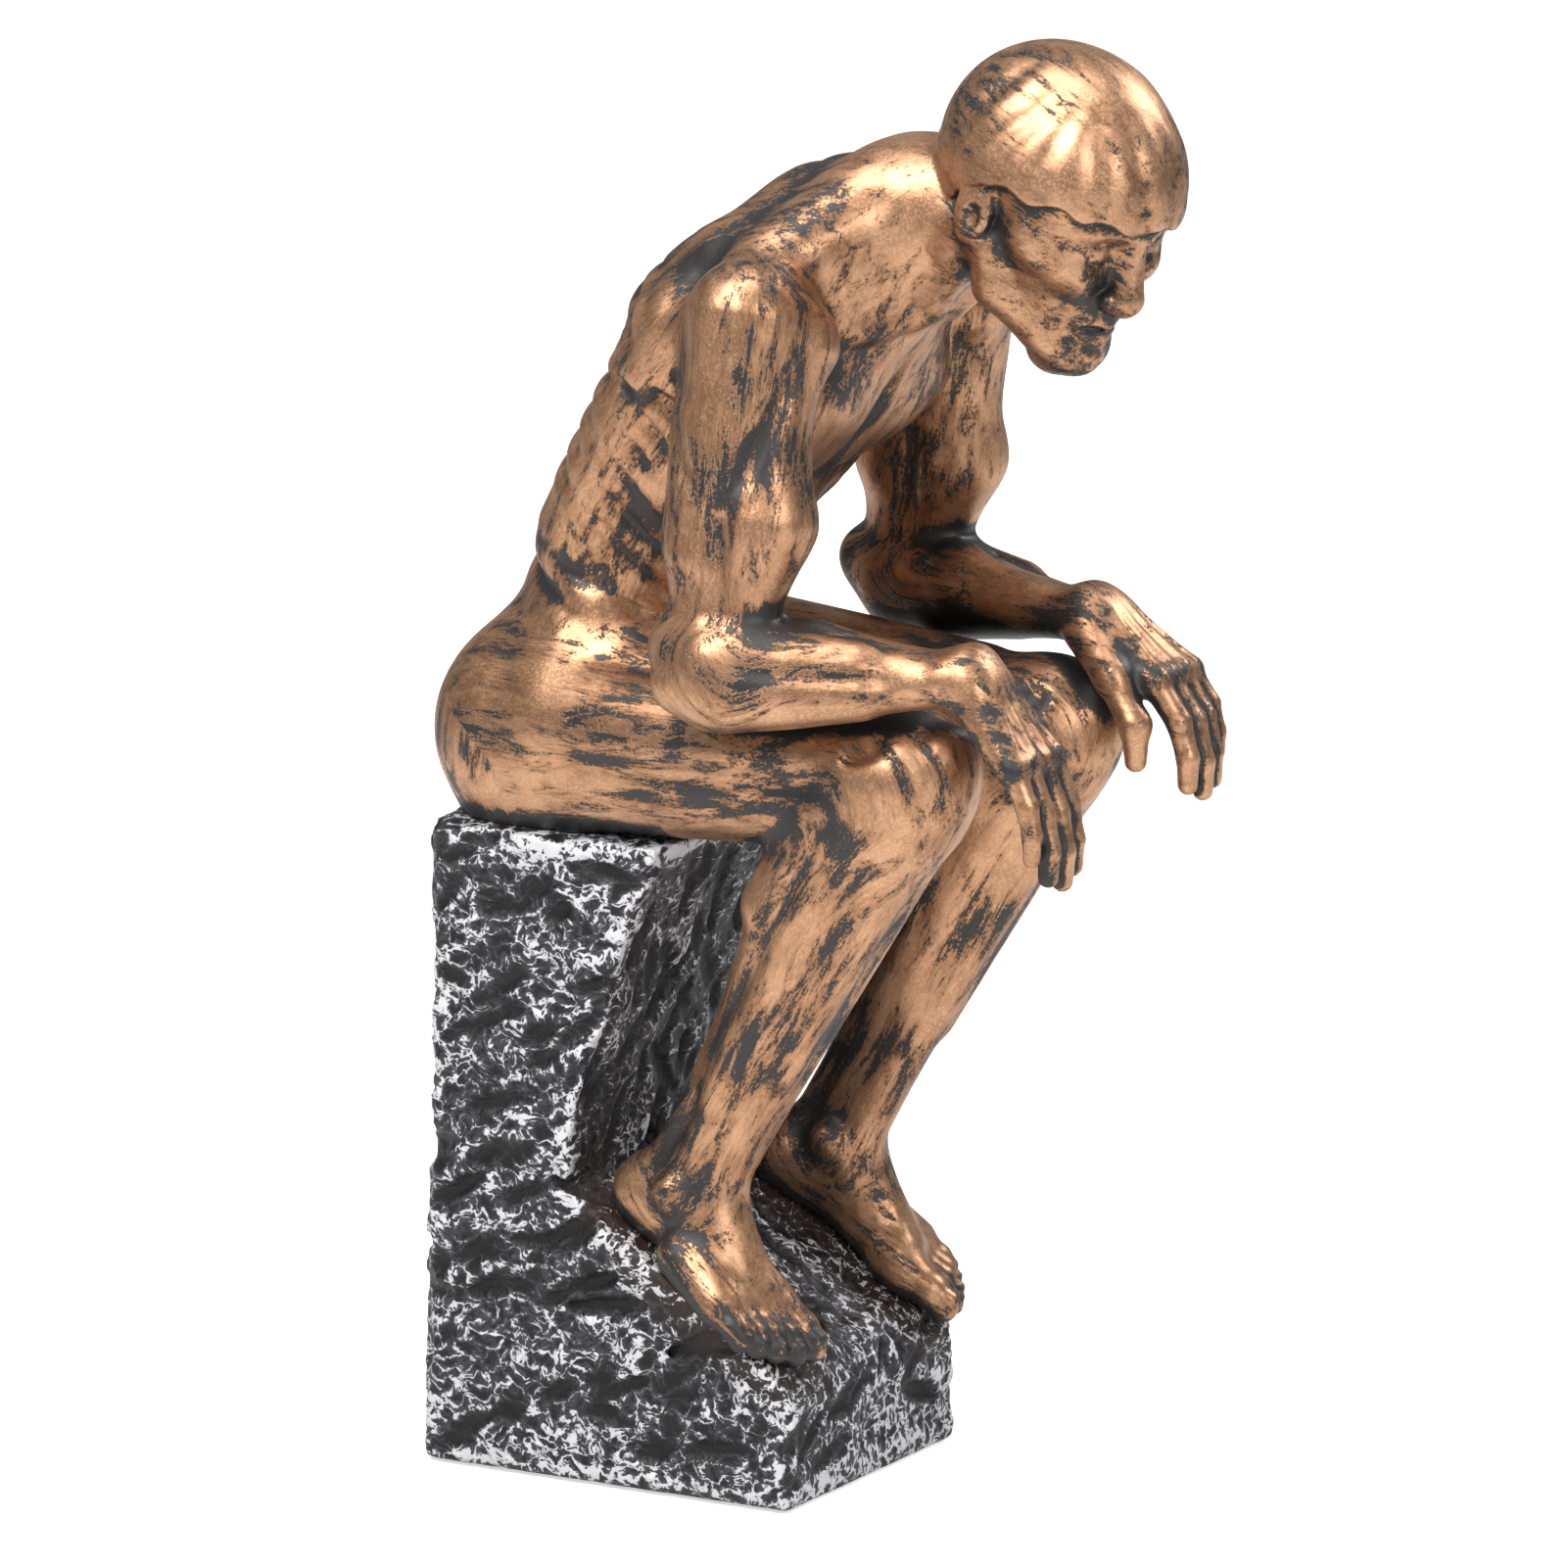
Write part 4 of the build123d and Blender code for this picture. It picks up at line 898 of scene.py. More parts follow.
class Cap(Ball):
    """An oval ball cut off below an edge that rises and falls from front to back."""

    def __init__(self, origin, middle, axes, halves, edge, soft):
        super().__init__(middle, axes, halves)
        self.origin, self.edge, self.soft = origin, edge, soft

    def distance(self, x, y, z):
        across, along, height = components(x, y, z, self.origin, self.axes)
        (edge,) = smooth_rows(self.edge, along)
        edge = edge + LOCK_DEPTH * np.sin((np.abs(across) + along) * (2 * math.pi / LOCK_PITCH))
        return rounded_max(super().distance(x, y, z), edge - height, self.soft)


def head_frame():
    turn, bow = math.radians(-HEAD_TURN), math.radians(HEAD_BOW)
    right = vec(math.cos(turn), math.sin(turn), 0)
    level = vec(-math.sin(turn), math.cos(turn), 0)
    up = vec(0, 0, math.cos(bow)) - level * math.sin(bow)
    return right, np.cross(up, right), up


def head_form(arc):
    axes = head_frame()
    right, back, up = axes
    middle = vec(*HEAD_MIDDLE)

    def at(x, y, z):
        return middle + right * x + back * y + up * z

    form = Form()
    form.add(Ball(at(*CRANIUM[0]), axes, CRANIUM[1]), BODY_BLEND)
    face = Bone(at(*FACE_TOP), at(*FACE_END), -back, 1)
    form.add(Sections(face, FACE_ROWS, FACE_SQUARENESS), BODY_BLEND)
    form.add(Rod(arc.at(*NECK_ENDS[0]), at(*NECK_ENDS[1]), *NECK_RADII), BODY_BLEND)
    for side in SIDES.values():
        def beside(x, y, z, side=side):
            return at(side * x, y, z)

        def add_beside(rows):
            for start, end, start_radius, end_radius, blend in rows:
                form.add(Rod(beside(*start), beside(*end), start_radius, end_radius), blend)

        def ball(middle, halves, blend):
            return Ball(beside(*middle), axes, halves), blend

        for top, low, top_radius, low_radius in NECK_MUSCLES:
            foot = arc.at(low[0], side * low[1], low[2])
            form.add(Rod(beside(*top), foot, top_radius, low_radius), MUSCLE_BLEND)
        add_beside(FACE_RODS)
        form.carve(*ball(*EYE_HOLLOW))
        form.add(*ball(*EYEBALL))
        add_beside(NOSE_RODS)
        form.add(*ball(*NOSTRIL_WING))
        form.carve(*ball(*NOSTRIL))
        for width, height, path in FACE_LINES:
            form.line([beside(*point) for point in path], width, height)
        form.add(*ball(*EAR))
        form.carve(*ball(*EAR_CONCH))
        width, height, path = EAR_RIM
        form.line([beside(*point) for point in path], width, height)
    hair_middle, hair_halves = at(*HAIR[0]), HAIR[1]
    form.add(Cap(middle, hair_middle, axes, hair_halves, HAIR_EDGE, HAIR_ROUND), HAIR_BLEND)
    for index, turn in enumerate(np.linspace(*STRAND_TURNS, STRAND_COUNT)):
        path = []
        for step, rise in enumerate(STRAND_RISES):
            around = math.radians(turn + STRAND_SWAY * math.sin(index + step))
            high = math.radians(rise)
            ways = vec(math.sin(around) * math.cos(high), -math.cos(around) * math.cos(high), math.sin(high))
            path.append(hair_middle + (ways * hair_halves) @ np.array(axes))
        form.line(path, *STRAND)
    return form


# Castings
JOINT_BLENDS = {"head": 5.0, "arm": 5.0, "leg": 7.0}
GRID_ROOM = 3.5
NEAR_SEAM = 3.0
# By the size of a voxel: how near a seam's rim lies, how far it may move, how far slopes reach
SEAM_SHARE, RIM_SHARE, SLOPE_SHARE = 0.8, 2.0, 0.25
SEAM_ROUNDS = 5
CONTACT_GAP = 0.05
SEAT_ROOM = 12.0  # how far below the seat a thigh is still cut by it

arc = Arc()
bones = {name: skeleton(name) for name in SIDES}
torso_field = torso_form(arc)
fields = {"head": head_form(arc)}
for name in SIDES:
    fields[name + "_arm"] = arm_form(name)
    fields[name + "_leg"] = leg_form(bones[name])
seat_front = ROCK_LENGTH / 2 - SEAT_DEPTH


def casting_kind(name):
    """A casting's name without its side."""
    return name.split("_")[-1]


def ledge_height(y):
    return HEEL[2] + (y - HEEL[1]) * LEDGE_FALL / LEDGE_RUN


def limb_skin(name):
    """Blended skin of a limb and the torso, at points."""
    field, blend = fields[name], JOINT_BLENDS[casting_kind(name)]
    return lambda points: smooth_min(field.at(points), torso_field.at(points), blend)


def limb_seam(name):
    """Negative on the limb's side of the joint with the torso, at points."""
    field = fields[name]
    return lambda points: (field.at(points) - torso_field.at(points)) / 2


def torso_skin(points):
    """Blended skin of the torso and all that joins it, at points."""
    value = torso_field.at(points)
    for name, field in fields.items():
        value = smooth_min(value, field.at(points), JOINT_BLENDS[casting_kind(name)])
    return value


def torso_seam(points):
    """Negative on the torso's side of its joints, at points."""
    own = torso_field.at(points)
    return np.max([(own - field.at(points)) / 2 for field in fields.values()], axis=0)


def limb_grid(name, step):
    """A limb's values on its grid, cut at the torso and where it rests on something."""
    field = fields[name]
    axes = grid(*field.box(GRID_ROOM), step)
    own = field.on_grid(axes)
    trunk = torso_field.on_grid(axes)
    value = np.maximum(smooth_min(own, trunk, JOINT_BLENDS[casting_kind(name)]), (own - trunk) / 2)
    x, y, z = np.ix_(*axes)
    if casting_kind(name) == "leg":
        side = SIDES[name.split("_")[0]]
        value = np.maximum(value, LEG_GAP / 2 - side * x)
        on_seat = (y > seat_front) & (z > SEAT_HEIGHT - SEAT_ROOM)
        value = np.maximum(value, np.where(on_seat, SEAT_HEIGHT - z, -FAR))
        value = np.maximum(value, (ledge_height(y) - z) * LEDGE_COSINE)
    if casting_kind(name) == "arm":
        leg = fields[name.replace("_arm", "_leg")]
        value = np.maximum(value, CONTACT_GAP - leg.on_grid(axes))
    return value, axes


def torso_grid(step):
    """The torso's values on its grid, cut at its joints and at the seat."""
    axes = grid(*torso_field.box(GRID_ROOM), step)
    own = torso_field.on_grid(axes)
    others = {name: field.on_grid(axes) for name, field in fields.items()}
    value = own
    for name, other in others.items():
        value = smooth_min(value, other, JOINT_BLENDS[casting_kind(name)])
    for other in others.values():
        value = np.maximum(value, (own - other) / 2)
    x, y, z = np.ix_(*axes)
    return np.maximum(value, SEAT_HEIGHT - z), axes


def step_to_zero(points, measure, reach):
    """Points moved onto the surface where a measured value is zero."""
    slope = slopes(measure, points, reach)
    size = np.maximum((slope**2).sum(1), 1 / FAR)
    return points - slope * (measure(points) / size)[:, None]


def close_seam(points, skin, seam, step):
    """Draws the rim of a joint to where both castings meet, and gives normals near it."""
    reach = step * SLOPE_SHARE
    near = np.flatnonzero(np.abs(seam(points)) < NEAR_SEAM)
    spots = points[near]
    on_skin = np.abs(skin(spots)) < step * SEAM_SHARE
    rim = near[on_skin & (np.abs(seam(spots)) < step * SEAM_SHARE)]
    moved = points[rim]
    for _ in range(SEAM_ROUNDS):
        moved = step_to_zero(moved, seam, reach)
        moved = step_to_zero(moved, skin, reach)
    close = np.linalg.norm(moved - points[rim], axis=1) < step * RIM_SHARE
    points[rim[close]] = moved[close]
    flat = near[np.abs(skin(points[near])) < step * SEAM_SHARE]
    return flat, slopes(skin, points[flat], reach)


def cast_piece(name, points, faces, smooth_at=None, normals=None):
    """A mesh object from points in millimetres, with set normals near its joints."""
    mesh = bpy.data.meshes.new(name)
    mesh.from_pydata((points * MM).tolist(), [], faces.tolist())
    mesh.shade_smooth()
    if smooth_at is not None:
        on_skin = np.zeros(len(points), dtype=bool)
        on_skin[smooth_at] = True
        ways = np.zeros((len(points), 3))
        ways[smooth_at] = normals / np.linalg.norm(normals, axis=1)[:, None]
        outer = on_skin[faces].all(1)
        loops = np.where(outer[:, None, None], ways[faces], 0).reshape(-1, 3)
        mesh.normals_split_custom_set(loops.tolist())
    piece = bpy.data.objects.new(name, mesh)
    bpy.context.scene.collection.objects.link(piece)
    return piece


def set_values(piece, name, values):
    """A named value for each point of a piece, for its material."""
    kind = "FLOAT" if values.ndim == 1 else "FLOAT_VECTOR"
    attribute = piece.data.attributes.new(name, kind, "POINT")
    key = "value" if values.ndim == 1 else "vector"
    attribute.data.foreach_set(key, values.astype(np.float32).ravel())


def point_normals(piece):
    normals = np.zeros(len(piece.data.vertices) * 3, dtype=np.float32)
    piece.data.vertices.foreach_get("normal", normals)
    return normals.reshape(-1, 3).astype(np.float64)


# How deep each point lies between its neighbours, and along which way the brush went
CREASE_REACHES = (1.2, 3.0)
CREASE_GAIN_SHARES = (0.55, 0.75)
HEAD_CREASE_SHARE = 0.54
FLOW_STRETCH = 0.16
BRUSHED_BONES = {"arm": ("upper_arm", "forearm"), "leg": ("thigh", "calf", "foot")}
all_fields = [torso_field, *fields.values()]


def crease(points, normals):
    """From 0 on open skin to 1 in deep creases and beside what the skin touches."""
    total = np.zeros(len(points))
    for reach, gain in zip(CREASE_REACHES, CREASE_GAIN_SHARES):
        spots = points + normals * reach
        gap = np.min([field.at(spots) for field in all_fields], axis=0)
        over_seat = (spots[:, 1] > seat_front) & (spots[:, 2] > SEAT_HEIGHT - SEAT_ROOM)
        gap = np.minimum(gap, np.where(over_seat, spots[:, 2] - SEAT_HEIGHT, FAR))
        gap = np.minimum(gap, (spots[:, 2] - ledge_height(spots[:, 1])) * LEDGE_COSINE)
        total += gain * np.clip(1 - gap / reach, 0, 1)
    return np.clip(total, 0, 1)


def flow(points, runs):
    """Brush coordinates: short along each bone, full size across it."""
    total, weight = np.zeros((len(points), 3)), np.zeros(len(points))
    for index, bone in enumerate(runs):
        rel = points - bone.start
        along = rel @ unit(bone.axis)
        gap = np.linalg.norm(rel - np.outer(np.clip(along, 0, bone.length), unit(bone.axis)), axis=1)
        share = 1 / (1 + gap**4)
        shift = bone.length * index
        local = np.stack([(along + shift) * FLOW_STRETCH, rel @ bone.out, rel @ bone.front], 1)
        total += local * share[:, None]
        weight += share
    return total / weight[:, None]


def torso_flow(points):
    along, out, front = arc.back(*points.T)
    return np.stack([along * TORSO_LENGTH * FLOW_STRETCH, out, front], 1)


def head_flow(points):
    right, back, up = head_frame()
    rel = points - vec(*HEAD_MIDDLE)
    return np.stack([rel @ right, rel @ back * FLOW_STRETCH, rel @ up], 1)


figure = {}


def finish_casting(name, points, faces, skin, seam, step, flow_values):
    """One casting of the figure, with what its material needs to know of each point."""
    points, faces = whole(points, faces)
    smooth_at, normals = close_seam(points, skin, seam, step)
    piece = cast_piece("cast_" + name, points, faces, smooth_at, normals)
    share = HEAD_CREASE_SHARE if name == "head" else 1
    set_values(piece, "crease", share * crease(points, point_normals(piece)))
    set_values(piece, "flow", flow_values(points))
    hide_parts(name)
    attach(piece, "root")
    figure[name] = piece


def brush_way(name):
    """Brush coordinates of the head or a limb, at points."""
    if name == "head":
        return head_flow
    runs = [bones[name.split("_")[0]][bone] for bone in BRUSHED_BONES[casting_kind(name)]]
    return lambda points: flow(points, runs)


for name in fields:
    step = VOXELS[casting_kind(name)]
    points, faces = surface(*limb_grid(name, step))
    finish_casting(name, points, faces, limb_skin(name), limb_seam(name), step, brush_way(name))
step = VOXELS["torso"]
points, faces = surface(*torso_grid(step))
finish_casting("torso", points, faces, torso_skin, torso_seam, step, torso_flow)


# Rock
ROCK_SEED = 11
NOISE_CELLS = 32
ROCK_BEVEL = 2.4
ROCK_CORNER_RISE = 4.0  # of the rounded edge round the foot
ROCK_CORNER_INSET = 2.0
BACK_HOLLOW_TOP = 76.0  # of the hollow band above the lower bed
BACK_BULGE = (100.0, 114.0)  # heights between which the back stands out again
BACK_BULGE_INSET = 0.6
UNDERCUT = [(-5.0, 106.0), (-1.0, 92.0), (4.0, 76.0)]  # the front wall below the seat
rock_back, rock_front = ROCK_LENGTH / 2, -ROCK_LENGTH / 2
ledge_back = seat_front + SEAT_UNDERCUT
# Side view, as (place along Y, height): the foot, the back, the seat, the front and the ledge
ROCK_OUTLINE = [
    (rock_back - ROCK_CORNER_INSET, ROCK_FOOT),
    (rock_back, ROCK_FOOT + ROCK_CORNER_RISE),
    (rock_back, STRATUM_HEIGHT),
    (rock_back - STRATUM_STEP, STRATUM_HEIGHT + STRATUM_STEP),
    (rock_back - STRATUM_STEP, BACK_HOLLOW_TOP),
    (rock_back - BACK_BULGE_INSET, BACK_BULGE[0]),
    (rock_back - BACK_BULGE_INSET, BACK_BULGE[1]),
    (rock_back - STRATUM_STEP, SEAT_HEIGHT),
    (seat_front, SEAT_HEIGHT),
    *UNDERCUT,
    (ledge_back, LEDGE_BACK_HEIGHT),
    (rock_front + NOSE_SETBACK, LEDGE_FRONT_HEIGHT),
    (rock_front, LEDGE_FRONT_HEIGHT - NOSE_DROP),
    (rock_front, ROCK_FOOT + ROCK_CORNER_RISE),
    (rock_front + ROCK_CORNER_INSET, ROCK_FOOT),
]
# Broken upright corners: (side, end, depth at the foot, more depth per height)
CORNER_BREAKS = [(-1, 1, 4.0, 0.015), (1, 1, 5.0, 0.03), (-1, -1, 1.2, 0.03), (1, -1, 3.0, 0.01)]
# Hollows: (place along the rock or across it, height by the seat's height, depth by the dish depth)
SIDE_DISH_SHARES = [
    (0.40, 0.09, 0.9),
    (0.13, 0.08, 1.0),
    (-0.13, 0.09, 0.8),
    (-0.37, 0.08, 0.7),
    (0.46, 0.28, 0.7),
    (0.24, 0.25, 1.1),
    (0.00, 0.27, 0.9),
    (-0.24, 0.23, 1.0),
    (0.36, 0.41, 0.8),
    (0.12, 0.43, 1.0),
    (0.42, 0.57, 1.0),
    (0.20, 0.60, 0.8),
    (0.34, 0.74, 1.1),
    (0.09, 0.77, 0.9),
    (0.41, 0.88, 0.6),
    (0.18, 0.90, 0.7),
    (-0.04, 0.88, 0.8),
]
BACK_DISH_SHARES = [
    (-0.30, 0.09, 0.9),
    (0.02, 0.08, 0.8),
    (0.31, 0.10, 1.0),
    (-0.16, 0.27, 1.0),
    (0.15, 0.26, 0.9),
    (-0.33, 0.40, 0.8),
    (0.00, 0.40, 0.9),
    (0.34, 0.41, 0.8),
    (-0.19, 0.58, 1.0),
    (0.13, 0.60, 1.0),
    (0.38, 0.63, 0.7),
    (-0.34, 0.75, 0.7),
    (-0.04, 0.77, 0.8),
    (0.27, 0.80, 0.8),
    (-0.21, 0.90, 0.6),
    (0.06, 0.91, 0.6),
]
FRONT_DISH_SHARES = [(-0.29, 0.08, 0.8), (0.03, 0.09, 0.9), (0.32, 0.08, 0.8)]
DISH_RADIUS = 36.0
DISH_DEPTH = 2.2
DISH_BLEND = 1.6
BUMP_SIZES = (8.0, 3.6)
BUMP_HEIGHTS = (1.0, 0.8)
BUMP_BIAS_SHARE = 0.3  # of the bumps that stands out of the outline
WORM_SIZE = 2.5
WORM_WARP = 1.5
WORM_DEPTH = 0.5
WORM_WIDTH_SHARE = 0.34
RELIEF_BAND = (-3.6, 1.8)  # the relief is worked out this far inside and outside
SCOOP_COUNT = 340
SCOOP_LENGTHS = (4.0, 10.5)
SCOOP_WIDTHS = (1.5, 2.7)
SCOOP_DEPTHS = (0.8, 1.6)
SCOOP_WAY = (0.0, 0.94, -0.34)
SCOOP_SPREADS = (0.3, 0.3, 0.22)
SCOOP_BLEND = 0.6
EDGE_CHIPS = 7  # on each upright edge
CHIP_HEIGHTS = (3.5, 9.0)
CHIP_RADII = (5.0, 8.0)
CHIP_DEPTHS = (0.6, 2.0)
FOOT_RISE = 6.0  # of the bevel round the foot
FOOT_INSET = 2.2
CONTACT_ROOM = 4.0
EDGE_REACHES = (1.4, 3.6)
random = np.random.default_rng(ROCK_SEED)
lattice = random.random((NOISE_CELLS,) * 3)
resting = [torso_field, fields["right_leg"], fields["left_leg"]]


def between(values, base, share):
    """Values between the eight corners of each cell."""
    total = np.zeros(len(base))
    index = [[(base[:, n] + step) % values.shape[n] for step in (0, 1)] for n in range(3)]
    weight = [(1 - share[:, n], share[:, n]) for n in range(3)]
    for i, j, k in CORNERS:
        corner = values[index[0][i], index[1][j], index[2][k]]
        total += weight[0][i] * weight[1][j] * weight[2][k] * corner
    return total


def noise(points, size):
    """Smooth noise from 0 to 1 with features of a size in millimetres."""
    spots = points / size
    base = np.floor(spots).astype(int)
    share = spots - base
    return between(lattice, base, share * share * (3 - 2 * share))


def sampled(value, axes, points):
    """Values of a grid at points between its places."""
    start, step = [a[0] for a in axes], [a[1] - a[0] for a in axes]
    spots = (points - start) / step
    base = np.clip(np.floor(spots).astype(int), 0, np.array(value.shape) - 2)
    return between(value, base, np.clip(spots - base, 0, 1))


def outline_distance(y, z):
    """Signed distance to the rock's outline in the side view."""
    best = np.full(np.broadcast(y, z).shape, FAR)
    inside = np.zeros(best.shape, dtype=bool)
    for (ay, az), (by, bz) in zip(ROCK_OUTLINE, ROCK_OUTLINE[1:] + ROCK_OUTLINE[:1]):
        ey, ez = by - ay, bz - az
        wy, wz = y - ay, z - az
        along = np.clip((wy * ey + wz * ez) / (ey * ey + ez * ez), 0, 1)
        best = np.minimum(best, np.hypot(wy - ey * along, wz - ez * along))
        if az != bz:
            over = (z >= min(az, bz)) & (z < max(az, bz))
            inside ^= over & (y < ay + ey * (z - az) / ez)
    return np.where(inside, -best, best)


def worms(points):
    """Thin winding ridges: 1 on a ridge, 0 between."""
    shift = np.stack([noise(points + WORM_SIZE * n, 2 * WORM_SIZE) for n in (1, 2, 3)], 1)
    value = noise(points + shift * (2 * WORM_WARP), WORM_SIZE)
    return np.clip(1 - np.abs(2 * value - 1) / WORM_WIDTH_SHARE, 0, 1)


def clear_of_figure(points):
    """0 where the rock carries the figure or the floor, 1 away from them."""
    gap = sampled(figure_gap, gap_axes, points)
    return np.clip(np.minimum(gap, points[:, 2] - ROCK_FOOT) / CONTACT_ROOM, 0, 1)


def dish_centres():
    """Middles of the balls that leave the shallow hollows, as in the solid model."""
    for place, up, depth in SIDE_DISH_SHARES:
        across = ROCK_WIDTH / 2 + DISH_RADIUS - DISH_DEPTH * depth
        for side in SIDES.values():
            yield side * across, ROCK_LENGTH * place, SEAT_HEIGHT * up
    for place, up, depth in BACK_DISH_SHARES:
        step = STRATUM_STEP if SEAT_HEIGHT * up > STRATUM_HEIGHT else 0
        yield ROCK_WIDTH * place, rock_back - step + DISH_RADIUS - DISH_DEPTH * depth, SEAT_HEIGHT * up
    for place, up, depth in FRONT_DISH_SHARES:
        yield ROCK_WIDTH * place, rock_front - DISH_RADIUS + DISH_DEPTH * depth, SEAT_HEIGHT * up


def hewn_rock(axes):
    """The rock's outside: its outline, broken corners, hollows, bumps and winding ridges."""
    x, y, z = np.ix_(*axes)
    value = rounded_max(outline_distance(y[0], z[0])[None], np.abs(x) - ROCK_WIDTH / 2, ROCK_BEVEL)
    for side, end, depth, lean in CORNER_BREAKS:
        out = (side * x + end * y) / math.sqrt(2) + lean * z
        value = rounded_max(value, out - (ROCK_WIDTH + ROCK_LENGTH) / math.sqrt(8) + depth, ROCK_BEVEL)
    slant = math.hypot(FOOT_RISE, FOOT_INSET)
    bevel = ((np.abs(x) - ROCK_WIDTH / 2) * FOOT_RISE + (ROCK_FOOT + FOOT_RISE - z) * FOOT_INSET) / slant
    value = rounded_max(value, bevel, ROCK_BEVEL)
    for cx, cy, cz in dish_centres():
        ball = np.sqrt((x - cx) ** 2 + (y - cy) ** 2 + (z - cz) ** 2) - DISH_RADIUS
        value = rounded_max(value, -ball, DISH_BLEND)
    near = np.nonzero((value > RELIEF_BAND[0]) & (value < RELIEF_BAND[1]))
    spots = np.stack([a[n] for a, n in zip(axes, near)], 1)
    relief = WORM_DEPTH * (1 - worms(spots))
    for size, height in zip(BUMP_SIZES, BUMP_HEIGHTS):
        relief += height * (noise(spots + size, size) - BUMP_BIAS_SHARE)
    value[near] += relief * clear_of_figure(spots)
    return value


def edge_chips():
    """Balls that break pieces out of the upright edges."""
    for side, end, facet, lean in CORNER_BREAKS:
        top = SEAT_HEIGHT if end > 0 else LEDGE_FRONT_HEIGHT
        away = unit(vec(side, end, 0))
        for height in random.uniform(CONTACT_ROOM, top, EDGE_CHIPS):
            half, radius, depth = (random.uniform(*r) for r in (CHIP_HEIGHTS, CHIP_RADII, CHIP_DEPTHS))
            corner = vec(side * ROCK_WIDTH / 2, end * ROCK_LENGTH / 2, height)
            middle = corner + away * (radius - facet - lean * height - depth)
            yield Ball(middle, np.eye(3), (radius, radius, half))


def leaf_marks(value, axes):
    """Long thin balls that leave leaf-shaped marks, most of them along one way."""
    points, _ = surface(value, axes)
    points = points[random.choice(len(points), SCOOP_COUNT, replace=False)]
    points = points[clear_of_figure(points) == 1]
    ways = slopes(lambda spots: sampled(value, axes, spots), points, CONTACT_ROOM)
    for spot, way in zip(points, ways):
        out = unit(way)
        side_way = unit(np.cross(out, random.normal(SCOOP_WAY, SCOOP_SPREADS)))
        length, width, depth = (random.uniform(*r) for r in (SCOOP_LENGTHS, SCOOP_WIDTHS, SCOOP_DEPTHS))
        directions = (np.cross(side_way, out), side_way, out)
        yield Ball(spot + out * (width - depth), directions, (length, width, width))


def chiselled(value, axes, balls):
    """The rock with balls cut out of it."""
    value = value.copy()
    for ball in balls:
        spans, places = window(axes, ball, SCOOP_BLEND)
        value[spans] = rounded_max(value[spans], -ball.distance(*places), SCOOP_BLEND)
    return value


def rock_hollow(axes):
    """The cavity, its mouth and the rebate for the closing plate."""
    x, y, z = np.ix_(*axes)
    half_width, half_length = ROCK_WIDTH / 2 - ROCK_WALL, ROCK_LENGTH / 2 - ROCK_WALL
    inner = np.maximum(outline_distance(y[0], z[0])[None] + ROCK_WALL, np.abs(x) - half_width)
    mouth = np.maximum(np.abs(x) - half_width, np.abs(y) - half_length)
    rebate = np.maximum(mouth - PLATE_REBATE, z - PLATE_TOP)
    mouth = np.maximum(mouth, z - PLATE_TOP - ROCK_WALL)
    return np.minimum(np.minimum(inner, mouth), rebate)


ROCK_ROOM = 6.0
GAP_STEP = 2.0
low = (-ROCK_WIDTH / 2 - ROCK_ROOM, rock_front - ROCK_ROOM, ROCK_FOOT - ROCK_ROOM)
high = (ROCK_WIDTH / 2 + ROCK_ROOM, rock_back + ROCK_ROOM, SEAT_HEIGHT + ROCK_ROOM)
gap_axes = grid(low, high, GAP_STEP)
figure_gap = np.min([field.on_grid(gap_axes) for field in resting], axis=0)
axes = grid(low, high, VOXELS["rock"])
blank = chiselled(hewn_rock(axes), axes, edge_chips())
rock = chiselled(blank, axes, leaf_marks(blank, axes))
points, faces = surface(np.maximum(rock, -rock_hollow(axes)), axes)
rock_piece = cast_piece("cast_rock", points, faces)
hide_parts("rock_base")
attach(rock_piece, "root")

# Where the silver paint stays: on ridges and edges, less in hollows. Painted shade darkens the undercut
# front wall below the seat, and painted light brightens the other front faces.
COAT_RIDGE, COAT_EDGE, COAT_HOLLOW = 0.22, 1.6, 0.5
COAT_MARK, MARK_DEPTH = -0.9, 0.5
# The first two are painted shade on the undercut front wall and painted light on the rock's other front
# faces.
PAINTED_WALL_SHADE, PAINTED_FRONT_LIGHT, COAT_FIGURE = -0.12, 0.2, -0.5
FIGURE_REACH = 9.0
BROWN_TOP = 84.0  # height up to which the rock is brown near the figure
FOOT_BEVEL = 2.5  # height of the black rim round the foot


def paint_rock(points, normals):
    """How much silver each point of the rock takes, with painted light and shade on its front faces, and how
    near the figure it is.
    """
    cut = sampled(rock - blank, axes, points)
    coat_and_shading = COAT_RIDGE * worms(points) + COAT_MARK * np.clip(cut / MARK_DEPTH, 0, 1)
    for reach in EDGE_REACHES:
        bulge = np.clip(1 + sampled(rock, axes, points - normals * reach) / reach, -1, 1)
        dip = np.clip(1 - sampled(rock, axes, points + normals * reach) / reach, -1, 1)
        coat_and_shading += (COAT_EDGE * bulge - COAT_HOLLOW * np.maximum(dip, 0)) / len(EDGE_REACHES)
    # Painted light and shade: faces turned to the front get more silver, and less where they are the
    # undercut wall below the seat.
    forward = np.clip(-normals[:, 1], 0, 1)
    shaded_wall_zone = (points[:, 1] > seat_front - CONTACT_ROOM) & (points[:, 2] < SEAT_HEIGHT - CONTACT_ROOM)
    coat_and_shading += np.where(shaded_wall_zone, PAINTED_WALL_SHADE, PAINTED_FRONT_LIGHT) * forward
    near_figure = np.clip(1 - sampled(figure_gap, gap_axes, points) / FIGURE_REACH, 0, 1)
    near_figure *= np.clip((BROWN_TOP - points[:, 2]) / CONTACT_ROOM, 0, 1)
    coat_and_shading += COAT_FIGURE * near_figure
    coat_and_shading -= np.clip(1 - (points[:, 2] - ROCK_FOOT) / FOOT_BEVEL, 0, 1)
    return coat_and_shading, near_figure


coat_and_shading, near_figure = paint_rock(points, point_normals(rock_piece))
set_values(rock_piece, "coat_and_shading", coat_and_shading)
set_values(rock_piece, "near_figure", near_figure)


